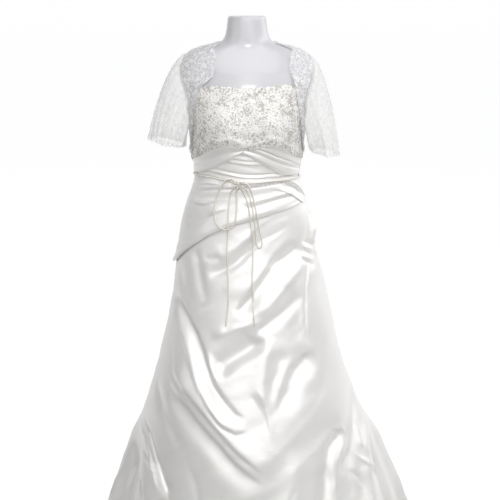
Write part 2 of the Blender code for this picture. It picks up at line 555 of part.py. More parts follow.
def sleeve(name, side):
    """A short flutter sleeve from the armhole to a scalloped hem; side is -1 for the viewer's left."""
    count = 24
    turn = np.linspace(0, 2 * math.pi, count, endpoint=False)
    # Round the armhole from its top, over the front, the underarm and the back.
    middle, half = 1.292, 0.098
    height = middle + half * np.cos(turn)
    spread = along(ARMHOLE, height) + 1.6
    spread = spread * np.where(np.sin(turn) >= 0, 1, -1) * np.minimum(1, np.abs(np.sin(turn)) * 3)
    angle = side * (90 - spread)
    root_off = bolero_off(angle, height) + 0.0014 + 0.0022
    root = raised(BODY, angle, height, root_off)
    cuff_x, cuff_wide, cuff_z, tilt = (-0.2135, 0.0465, 1.154, 0.009) if side < 0 else (0.2090, 0.0345,
                                                                                        1.125, -0.008)
    wave = 0.0045 * np.sin(turn * 5 + 0.6) + 0.0025 * np.sin(turn * 8 + 2.0)
    cuff = np.stack([cuff_x + side * (cuff_wide + 0.8 * wave) * np.cos(turn),
                     0.004 - (0.074 + wave) * np.sin(turn),
                     cuff_z + tilt * np.cos(turn)], -1)
    push = np.stack([side * (0.009 + (0.011 if side < 0 else 0.015) * np.maximum(np.cos(turn), 0)),
                     -0.018 * np.sin(turn),
                     0.004 * np.cos(turn)], -1)
    bend = root * 0.62 + cuff * 0.38 + push
    bend[:, 2] = root[:, 2] * 0.86 + cuff[:, 2] * 0.14
    scallop = np.where(np.arange(count) % 2, 0.0035, -0.0035)
    outer, inner = [], []
    steps = (0.0, 0.14, 0.30, 0.48, 0.66, 0.84, 1.0)
    for s in steps:
        ring = root * (1 - s) ** 2 + bend * 2 * s * (1 - s) + cuff * s * s
        if s == 1.0:
            ring[:, 2] = ring[:, 2] + scallop
        outer.append(ring)
    outer = np.array(outer)
    # The wall goes inward from the outer face, square to it.
    across = np.roll(outer, -1, 1) - np.roll(outer, 1, 1)
    down = np.gradient(outer, axis=0)
    n = np.cross(across, down)
    n = n / np.linalg.norm(n, axis=-1, keepdims=True)
    centre = outer.mean(1, keepdims=True)
    if float(((outer - centre) * n).sum(-1).mean()) < 0:
        n = -n
    wall(name, outer + n * 0.0014, outer, NET, closed=True)


sleeve("sleeve_left", -1)
sleeve("sleeve_right", 1)


def smooth_line(points, step):
    """Points step apart on a smooth curve through the route's own points."""
    p = np.array(points, float)
    long = np.concatenate([[0], np.cumsum(np.linalg.norm(np.diff(p, axis=0), axis=1))])
    fine = np.linspace(0, long[-1], 40 * len(p))
    ends = np.concatenate([[2 * p[0] - p[1]], p, [2 * p[-1] - p[-2]]])
    out = []
    for at in fine:
        i = min(max(int(np.searchsorted(long, at, side="right")) - 1, 0), len(p) - 2)
        t = (at - long[i]) / max(long[i + 1] - long[i], 1e-9)
        a, b, c, d = ends[i], ends[i + 1], ends[i + 2], ends[i + 3]
        square = 2 * a - 5 * b + 4 * c - d
        cube = 3 * b - a - 3 * c + d
        out.append(0.5 * (2 * b + (c - a) * t + square * t * t + cube * t ** 3))
    out = np.array(out)
    long = np.concatenate([[0], np.cumsum(np.linalg.norm(np.diff(out, axis=0), axis=1))])
    at = np.linspace(0, long[-1], max(2, int(round(long[-1] / step)) + 1))
    return np.stack([np.interp(at, long, out[:, k]) for k in range(3)], -1)


CORD_WIDE = 0.004


def tree_of(names):
    """The faces of some solids, to find what a cord lies on."""
    verts, faces = [], []
    for name in names:
        mesh = bpy.data.objects[name].data
        faces += [tuple(len(verts) + i for i in face.vertices) for face in mesh.polygons]
        verts += [tuple(v.co) for v in mesh.vertices]
    return BVHTree.FromPolygons(verts, faces)


UNDER = tree_of(("skirt_front", "skirt_side_left", "skirt_side_right", "wrap_front", "wrap_back_left",
                 "wrap_back_right",
                 "midriff_front", "midriff_back_left", "midriff_back_right", "band_left",
                 "band_right_lower"))


def lay(spot, out):
    """How far out from a spot a cord's middle has to be to lie on the cloth."""
    half = CORD_WIDE / 2
    side = np.array([-out[1], out[0], 0.0])
    side = side / np.linalg.norm(side)
    best = 0.0
    for share in (0.0, 0.5, 0.87, 1.0):
        for turn in range(8 if share else 1):
            a = math.radians(45 * turn)
            start = spot + half * share * (side * math.cos(a) + np.array([0, 0, math.sin(a)])) + out * 0.08
            hit = UNDER.ray_cast(Vector(start), Vector(-out), 0.12)
            if hit[0] is not None:
                best = max(best, 0.08 - hit[3] + half * math.sqrt(1 - share * share))
    return best


KNOT = (-8.0, 1.0592, 0.0116)
KNOT_SIZE = np.array([0.0070, 0.0048, 0.0064])
KNOT_AT = raised(SKIRT, np.array([KNOT[0]]), np.array([KNOT[1]]), np.array([KNOT[2]]))[0]


def tie(line, turn, depth):
    """The line with its first end led to the knot; turn is in degrees from the viewer's right."""
    away = np.array([math.cos(math.radians(turn)), depth, math.sin(math.radians(turn))])
    away = away / np.linalg.norm(away)
    reach = 1 / np.linalg.norm(away / KNOT_SIZE)
    far = np.linalg.norm(line - KNOT_AT, axis=1)
    rest = line[int(np.argmax(far > 0.021)):]
    return np.concatenate([[KNOT_AT + away * (reach + 0.0014)], [KNOT_AT + away * (reach + 0.0055)], rest])


def cord(name, route, start=None, end=None, step=0.012):
    """A cord's tube along a route of angles, heights and clearances under the cord."""
    route = np.array(route, float)
    flat = np.stack([np.radians(route[:, 0]) * 0.17, route[:, 1], route[:, 2]], -1)
    fine = smooth_line(flat, 0.004)
    angle, height, up = np.degrees(fine[:, 0] / 0.17), fine[:, 1], fine[:, 2]
    spots, out = place(SKIRT, angle, height), outward(SKIRT, angle, height)
    off = np.array([lay(a, b) for a, b in zip(spots, out)])
    # The highest place near by, then smoothed, so that the cord bridges small steps.
    wide = np.array([off[max(0, i - 2):i + 3].max() for i in range(len(off))])
    soft = np.array([wide[max(0, i - 1):i + 2].mean() for i in range(len(off))])
    off = np.maximum(off, soft) + up
    line = (spots + out * off[:, None])[::2]
    if start:
        line = tie(line, *start)
    if end:
        line = tie(line[::-1], *end)[::-1]
    line = smooth_line(line, step)
    curve = bpy.data.curves.new(name, "CURVE")
    curve.dimensions = "3D"
    curve.bevel_depth = CORD_WIDE / 2
    curve.bevel_resolution = 2
    curve.use_fill_caps = True
    curve.resolution_u = 1
    curve.render_resolution_u = 0
    spline = curve.splines.new("POLY")
    spline.points.add(len(line) - 1)
    for point, co in zip(spline.points, line):
        point.co = (*co, 1.0)
    obj = bpy.data.objects.new(name, curve)
    bpy.context.collection.objects.link(obj)
    curve.materials.append(CORD)
    return obj


# Where each cord runs: angle, height, clearance under it.
WAIST_ROUTE = [(a, float(along(WAIST, a if a <= 180 else a - 360)) + 0.0015, 0.0018) for a in
               (-4.0, 6, 18, 32, 48, 66, 84, 100, 116, 132, 148, 164, 180, 196, 212, 228, 244, 260, 276,
                294, 312, 328, 341, 341.8)]
LOOP_LEFT = (
    (-12.6, 1.0690, 0.0070), (-17.6, 1.0712, 0.0070), (-23.0, 1.0640, 0.0050), (-28.0, 1.0450, 0.0014),
    (-30.8, 1.0195, 0.0010), (-30.9, 0.9932, 0.0010), (-29.2, 0.9722, 0.0012), (-25.9, 0.9529, 0.0030),
    (-20.8, 0.9417, 0.0062), (-15.9, 0.9388, 0.0066), (-11.7, 0.9470, 0.0040), (-9.4, 0.9639, 0.0014),
    (-8.8, 0.9904, 0.0010), (-9.4, 1.0166, 0.0012), (-10.2, 1.0348, 0.0030), (-10.2, 1.0440, 0.0050))
LOOP_RIGHT = (
    (-4.6, 1.0650, 0.0080), (-0.6, 1.0612, 0.0078), (3.0, 1.0500, 0.0058), (5.9, 1.0320, 0.0018),
    (7.9, 1.0088, 0.0010), (9.4, 0.9745, 0.0010), (10.8, 0.9428, 0.0010), (12.1, 0.9111, 0.0010),
    (12.3, 0.8960, 0.0010), (10.8, 0.8880, 0.0010), (9.2, 0.8935, 0.0010), (8.4, 0.9060, 0.0010),
    (7.6, 0.9323, 0.0010), (6.7, 0.9641, 0.0010), (5.5, 1.0000, 0.0010), (3.4, 1.0240, 0.0014),
    (0.4, 1.0410, 0.0030), (-3.2, 1.0510, 0.0060))
END_LEFT = (
    (-11.8, 1.0500, 0.0050), (-15.4, 1.0380, 0.0014), (-16.6, 1.0187, 0.0008), (-16.4, 0.9898, 0.0008),
    (-15.9, 0.9476, 0.0008), (-15.8, 0.8975, 0.0008), (-15.7, 0.8326, 0.0010), (-15.6, 0.7679, 0.0010),
    (-16.2, 0.7240, 0.0010), (-16.9, 0.6826, 0.0008))
END_RIGHT = (
    (-5.8, 1.0460, 0.0050), (-2.4, 1.0330, 0.0014), (0.8, 1.0130, 0.0008), (2.6, 0.9900, 0.0008),
    (3.4, 0.9589, 0.0010), (4.2, 0.9325, 0.0010), (5.2, 0.8982, 0.0010), (4.6, 0.8543, 0.0010),
    (2.5, 0.7949, 0.0010), (2.1, 0.7358, 0.0010), (2.8, 0.6870, 0.0008))

cord("waist_cord", WAIST_ROUTE, (-4, 0.35), (184, 0.35), 0.024)
cord("bow_loop_left", LOOP_LEFT, (155, -0.45), (252, -0.25))
cord("bow_loop_right", LOOP_RIGHT, (36, -0.75), (322, -0.35))
cord("cord_end_left", END_LEFT, (214, -0.05))
cord("cord_end_right", END_RIGHT, (290, -0.05))

# The knot: a small rounded lump, wider than high.
knot_turn = np.linspace(0, 2 * math.pi, 12, endpoint=False)
knot_rings = []
for share in (-0.94, -0.6, 0.0, 0.6, 0.94):
    wide = math.sqrt(1 - share * share)
    knot_rings.append(np.stack([KNOT_AT[0] + KNOT_SIZE[0] * wide * np.cos(knot_turn),
                                KNOT_AT[1] + KNOT_SIZE[1] * wide * np.sin(knot_turn),
                                np.full(12, KNOT_AT[2] + KNOT_SIZE[2] * share)], -1))
stack("bow_knot", knot_rings, CORD)

# The closed zip down the centre back, from the bodice's top to below the wrap.
zip_heights = np.array([1.234, 1.20, 1.158])
zip_angle = np.array([-1.6, 1.6])[None, :] + 180 + 0 * zip_heights[:, None]
zip_z = zip_heights[:, None] + 0 * zip_angle
zip_off = CLEAR + 0.0018 + 0.0007 + 0.0004 + 0 * zip_angle
wall("back_zip", raised(BODY, zip_angle, zip_z, zip_off + 0.0010), raised(BODY, zip_angle, zip_z, zip_off),
     SATIN)

for made in bpy.data.objects:
    made.select_set(False)
bpy.context.view_layer.update()
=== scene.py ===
"""The look of the wedding dress with its lace bolero, on a limbless dress form.

Everything is in metres in the frame of the CAD model. A place on the dressed body is an angle in
degrees, 0 at the centre front and growing to the viewer's right, and a height.
"""

import json
import math

import bpy
import numpy as np
from mathutils import Vector
from mathutils.bvhtree import BVHTree
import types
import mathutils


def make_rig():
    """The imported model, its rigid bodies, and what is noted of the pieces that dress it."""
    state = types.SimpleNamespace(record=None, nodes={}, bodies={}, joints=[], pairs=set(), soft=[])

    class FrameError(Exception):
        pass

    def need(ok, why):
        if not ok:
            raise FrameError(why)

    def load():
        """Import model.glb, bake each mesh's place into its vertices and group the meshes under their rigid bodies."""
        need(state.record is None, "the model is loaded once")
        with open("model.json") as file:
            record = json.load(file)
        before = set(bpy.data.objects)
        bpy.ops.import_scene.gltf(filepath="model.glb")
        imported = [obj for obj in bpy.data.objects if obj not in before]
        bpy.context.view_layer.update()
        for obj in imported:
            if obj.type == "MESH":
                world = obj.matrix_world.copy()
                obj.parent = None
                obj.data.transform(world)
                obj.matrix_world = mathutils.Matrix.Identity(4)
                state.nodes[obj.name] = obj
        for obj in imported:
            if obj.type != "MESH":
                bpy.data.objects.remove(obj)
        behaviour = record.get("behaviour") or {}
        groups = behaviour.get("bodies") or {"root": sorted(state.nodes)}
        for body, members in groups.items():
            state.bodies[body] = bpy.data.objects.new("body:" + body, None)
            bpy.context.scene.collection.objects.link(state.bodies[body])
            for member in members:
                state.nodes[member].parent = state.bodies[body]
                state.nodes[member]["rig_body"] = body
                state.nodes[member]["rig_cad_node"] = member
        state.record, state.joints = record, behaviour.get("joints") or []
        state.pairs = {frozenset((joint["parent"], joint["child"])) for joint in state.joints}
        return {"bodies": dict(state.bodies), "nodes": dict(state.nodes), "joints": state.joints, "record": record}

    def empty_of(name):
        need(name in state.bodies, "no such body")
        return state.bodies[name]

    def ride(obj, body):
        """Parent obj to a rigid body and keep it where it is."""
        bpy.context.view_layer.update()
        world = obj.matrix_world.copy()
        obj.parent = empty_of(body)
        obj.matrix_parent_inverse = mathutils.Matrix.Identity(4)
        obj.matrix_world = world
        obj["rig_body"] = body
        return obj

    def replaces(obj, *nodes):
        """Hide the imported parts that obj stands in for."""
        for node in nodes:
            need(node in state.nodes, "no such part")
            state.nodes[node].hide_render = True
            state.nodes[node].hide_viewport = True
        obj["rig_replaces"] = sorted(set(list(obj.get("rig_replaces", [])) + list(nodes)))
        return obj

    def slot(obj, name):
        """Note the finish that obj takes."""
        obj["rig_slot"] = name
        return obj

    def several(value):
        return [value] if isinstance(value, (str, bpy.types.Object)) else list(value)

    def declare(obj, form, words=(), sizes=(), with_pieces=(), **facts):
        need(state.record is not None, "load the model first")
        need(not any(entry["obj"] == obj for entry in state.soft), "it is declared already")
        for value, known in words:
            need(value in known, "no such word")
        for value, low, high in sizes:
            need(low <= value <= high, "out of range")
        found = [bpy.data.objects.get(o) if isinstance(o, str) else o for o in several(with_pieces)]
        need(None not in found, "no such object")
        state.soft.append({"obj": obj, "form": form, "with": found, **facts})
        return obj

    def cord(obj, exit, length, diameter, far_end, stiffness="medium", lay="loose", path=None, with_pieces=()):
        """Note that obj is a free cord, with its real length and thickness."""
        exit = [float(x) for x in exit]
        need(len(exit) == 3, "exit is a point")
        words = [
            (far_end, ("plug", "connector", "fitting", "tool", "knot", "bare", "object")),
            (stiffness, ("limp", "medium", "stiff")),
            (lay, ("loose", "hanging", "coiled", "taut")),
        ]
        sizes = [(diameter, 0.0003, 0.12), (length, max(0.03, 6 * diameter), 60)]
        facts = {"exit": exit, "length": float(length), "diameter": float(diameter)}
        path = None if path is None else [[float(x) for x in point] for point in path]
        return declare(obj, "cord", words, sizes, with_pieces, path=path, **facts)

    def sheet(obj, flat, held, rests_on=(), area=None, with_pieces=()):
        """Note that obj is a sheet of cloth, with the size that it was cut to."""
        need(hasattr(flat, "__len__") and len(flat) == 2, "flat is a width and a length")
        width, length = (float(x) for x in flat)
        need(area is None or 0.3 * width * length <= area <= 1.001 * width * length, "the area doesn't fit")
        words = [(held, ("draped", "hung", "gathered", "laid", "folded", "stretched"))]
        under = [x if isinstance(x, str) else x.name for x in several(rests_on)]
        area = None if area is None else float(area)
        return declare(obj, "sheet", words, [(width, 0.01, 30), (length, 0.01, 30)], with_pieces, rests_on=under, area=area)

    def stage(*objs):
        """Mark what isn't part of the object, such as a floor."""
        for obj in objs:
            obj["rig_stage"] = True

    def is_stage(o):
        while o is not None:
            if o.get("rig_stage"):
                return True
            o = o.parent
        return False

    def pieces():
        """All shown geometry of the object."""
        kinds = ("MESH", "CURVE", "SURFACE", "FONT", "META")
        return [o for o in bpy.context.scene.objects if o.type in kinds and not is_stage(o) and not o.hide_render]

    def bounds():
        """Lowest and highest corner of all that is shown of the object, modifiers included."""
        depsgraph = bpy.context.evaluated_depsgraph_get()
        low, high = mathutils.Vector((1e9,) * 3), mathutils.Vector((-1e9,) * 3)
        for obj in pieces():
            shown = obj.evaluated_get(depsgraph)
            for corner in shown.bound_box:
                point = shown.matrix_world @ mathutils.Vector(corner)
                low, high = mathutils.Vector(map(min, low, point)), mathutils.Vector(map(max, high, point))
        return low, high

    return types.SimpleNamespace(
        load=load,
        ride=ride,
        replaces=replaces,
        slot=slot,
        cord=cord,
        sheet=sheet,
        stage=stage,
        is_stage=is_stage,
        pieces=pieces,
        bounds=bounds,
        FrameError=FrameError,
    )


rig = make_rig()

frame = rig.load()
cad_box = [list(corner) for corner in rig.bounds()]
rng = np.random.default_rng(7)

# The dressed body without the skirt's flare, section by section.
BODY = dict(
    height=(0.76, 0.80, 0.88, 0.94, 1.00, 1.04, 1.07, 1.10, 1.14, 1.20, 1.25, 1.29, 1.32, 1.34, 1.36, 1.375,
            1.385, 1.394, 1.403, 1.4105, 1.418, 1.424, 1.432, 1.45, 1.489),
    half_width=(0.164, 0.172, 0.176, 0.171, 0.155, 0.1405, 0.1350, 0.1385, 0.1435, 0.1490, 0.157, 0.169, 0.178,
                0.1810, 0.179, 0.172, 0.164, 0.153, 0.136, 0.110, 0.082, 0.070, 0.0620, 0.0560, 0.0512),
    front=(0.096, 0.099, 0.100, 0.098, 0.094, 0.0905, 0.0895, 0.092, 0.097, 0.105, 0.103, 0.096, 0.087, 0.079,
           0.072, 0.066, 0.062, 0.0585, 0.056, 0.054, 0.053, 0.0525, 0.0525, 0.052, 0.0505),
    back=(0.110, 0.117, 0.122, 0.115, 0.100, 0.090, 0.085, 0.087, 0.093, 0.101, 0.106, 0.108, 0.106, 0.102,
          0.096, 0.090, 0.086, 0.081, 0.075, 0.069, 0.063, 0.060, 0.057, 0.053, 0.0505),
    middle_y=(0.0, 0.0, 0.0, 0.0, 0.0, 0.0, 0.0, 0.0, 0.0, 0.0, 0.0, 0.0, 0.0, 0.0, 0.002, 0.004, 0.006, 0.008,
              0.010, 0.011, 0.012, 0.012, 0.012, 0.012, 0.012),
)

# How far the skirt stands away from a plumb line, section by section.
SKIRT = dict(
    height=(0.00, 0.10, 0.185, 0.257, 0.329, 0.40, 0.471, 0.541, 0.611, 0.679, 0.748, 0.80, 0.85, 0.88, 0.94,
            1.00, 1.04, 1.07, 1.11),
    half_width=(0.448, 0.417, 0.386, 0.356, 0.328, 0.305, 0.280, 0.2565, 0.238, 0.2225, 0.2085, 0.1985, 0.189,
                0.1845, 0.1745, 0.1575, 0.1435, 0.1370, 0.1400),
    front=(0.350, 0.322, 0.296, 0.274, 0.252, 0.230, 0.210, 0.191, 0.172, 0.156, 0.140, 0.128, 0.115, 0.107,
           0.099, 0.0945, 0.0910, 0.0900, 0.0940),
    back=(0.520, 0.466, 0.415, 0.372, 0.330, 0.295, 0.262, 0.230, 0.200, 0.176, 0.158, 0.146, 0.134, 0.127,
          0.116, 0.1005, 0.0905, 0.0855, 0.0890),
    middle_x=(0.0235, 0.0240, 0.0240, 0.021, 0.0190, 0.0155, 0.0125, 0.0100, 0.0085, 0.0095, 0.008, 0.005, 0.000,
              -0.001, -0.0015, -0.002, -0.0015, -0.001, 0.0),
)

# Lines round the body: angle, height.
WAIST = ((-180, 1.068), (-90, 1.0715), (-50, 1.0715), (-25, 1.066), (-8, 1.0600), (5, 1.0585), (20, 1.061), (40, 1.0635),
         (90, 1.064), (180, 1.068))
LACE_HEM = ((-180, 1.118), (-120, 1.114), (-88, 1.113), (-57, 1.129), (-40, 1.150), (-30, 1.160), (-20, 1.168), (-13, 1.166),
            (-8, 1.157), (0, 1.153), (8, 1.153), (15, 1.160), (24, 1.166), (34, 1.161), (46, 1.144),
            (62, 1.126), (82, 1.117), (120, 1.114), (180, 1.118))
NECKLINE = ((-180, 1.236), (-120, 1.240), (-90, 1.250), (-68, 1.272), (-52, 1.294), (-44, 1.308), (-37, 1.3135), (-20, 1.311),
            (0, 1.3075), (20, 1.3115), (33, 1.316), (44, 1.3155), (52, 1.300), (68, 1.274), (90, 1.250), (120, 1.240),
            (180, 1.236))
WRAP_EDGE = ((-180, 0.885), (-135, 0.852), (-112, 0.834), (-94, 0.826), (-82, 0.832), (-68, 0.852), (-52, 0.885), (-32, 0.921),
             (-12, 0.945), (4, 0.958), (25, 0.975), (42, 0.985), (60, 0.995), (75, 1.003), (92, 1.004),
             (120, 0.985), (150, 0.938), (180, 0.885))

# Edges of the skirt's panels: height, angle.
FRONT_LEFT = ((0.0, -30), (0.14, -38), (0.25, -49), (0.36, -61), (0.43, -70), (0.50, -80), (0.60, -87), (0.75, -88), (1.1, -88))
FRONT_RIGHT = ((0.0, 30), (0.23, 34), (0.42, 38), (0.585, 42), (0.66, 49), (0.76, 57), (0.83, 64), (0.90, 66), (1.1, 66))

def column(table, name, height):
    """A column of a section table at any heights, with no overshoot between the sections."""
    x, y = np.array(table["height"], float), np.array(table[name], float)
    step = np.diff(x)
    slope = np.diff(y) / step
    at = np.zeros_like(y)
    same = slope[:-1] * slope[1:] > 0
    before, after = 2 * step[1:] + step[:-1], step[1:] + 2 * step[:-1]
    safe = np.where(same, slope[:-1], 1.0), np.where(same, slope[1:], 1.0)
    at[1:-1] = np.where(same, (before + after) / (before / safe[0] + after / safe[1]), 0.0)
    at[0], at[-1] = slope[0], slope[-1]
    height = np.asarray(height, float)
    i = np.clip(np.searchsorted(x, height) - 1, 0, len(step) - 1)
    t = np.clip((height - x[i]) / step[i], 0, 1)
    return ((1 + 2 * t) * (1 - t) ** 2 * y[i] + t * (1 - t) ** 2 * step[i] * at[i] + t * t * (3 - 2 * t) * y[i + 1]
            + t * t * (t - 1) * step[i] * at[i + 1])


def along(line, at):
    """A line's second number where its first number is at."""
    line = np.array(line, float)
    return np.interp(at, line[:, 0], line[:, 1])


def smooth(low, high, value):
    t = np.clip((np.asarray(value, float) - low) / (high - low), 0, 1)
    return t * t * (3 - 2 * t)


def place(section, angle, height):
    """Points of the smooth body or skirt."""
    angle, height = np.broadcast_arrays(np.asarray(angle, float), np.asarray(height, float))
    turn = np.radians(angle)
    front, back = column(section, "front", height), column(section, "back", height)
    x = column(section, "half_width", height) * np.sin(turn)
    y = -np.where(np.cos(turn) > 0, front, back) * np.cos(turn)
    if "middle_x" in section:
        x = x + column(section, "middle_x", height)
    if "middle_y" in section:
        y = y + column(section, "middle_y", height)
        for bust in (-0.072, 0.072):
            y = y - 0.024 * np.exp(-((x - bust) / 0.058) ** 2 - ((height - 1.205) / 0.056) ** 2) * (np.cos(turn) > 0)
    return np.stack([x, y, height], -1)


def outward(section, angle, height):
    """Unit vectors that point out of the body."""
    angle, height = np.asarray(angle, float), np.asarray(height, float)
    round_it = place(section, angle + 0.3, height) - place(section, angle - 0.3, height)
    low, high = np.maximum(height - 0.0015, section["height"][0]), np.minimum(height + 0.0015, section["height"][-1])
    up = place(section, angle, high) - place(section, angle, low)
    n = np.cross(round_it, up)
    if "middle_x" in section:
        # The skirt's folds and walls stay level.
        n = n * np.array([1.0, 1.0, 0.0])
    return n / np.maximum(np.linalg.norm(n, axis=-1, keepdims=True), 1e-12)


def raised(section, angle, height, off):
    off = np.asarray(off, float)
    return place(section, angle, height) + outward(section, angle, height) * off[..., None]


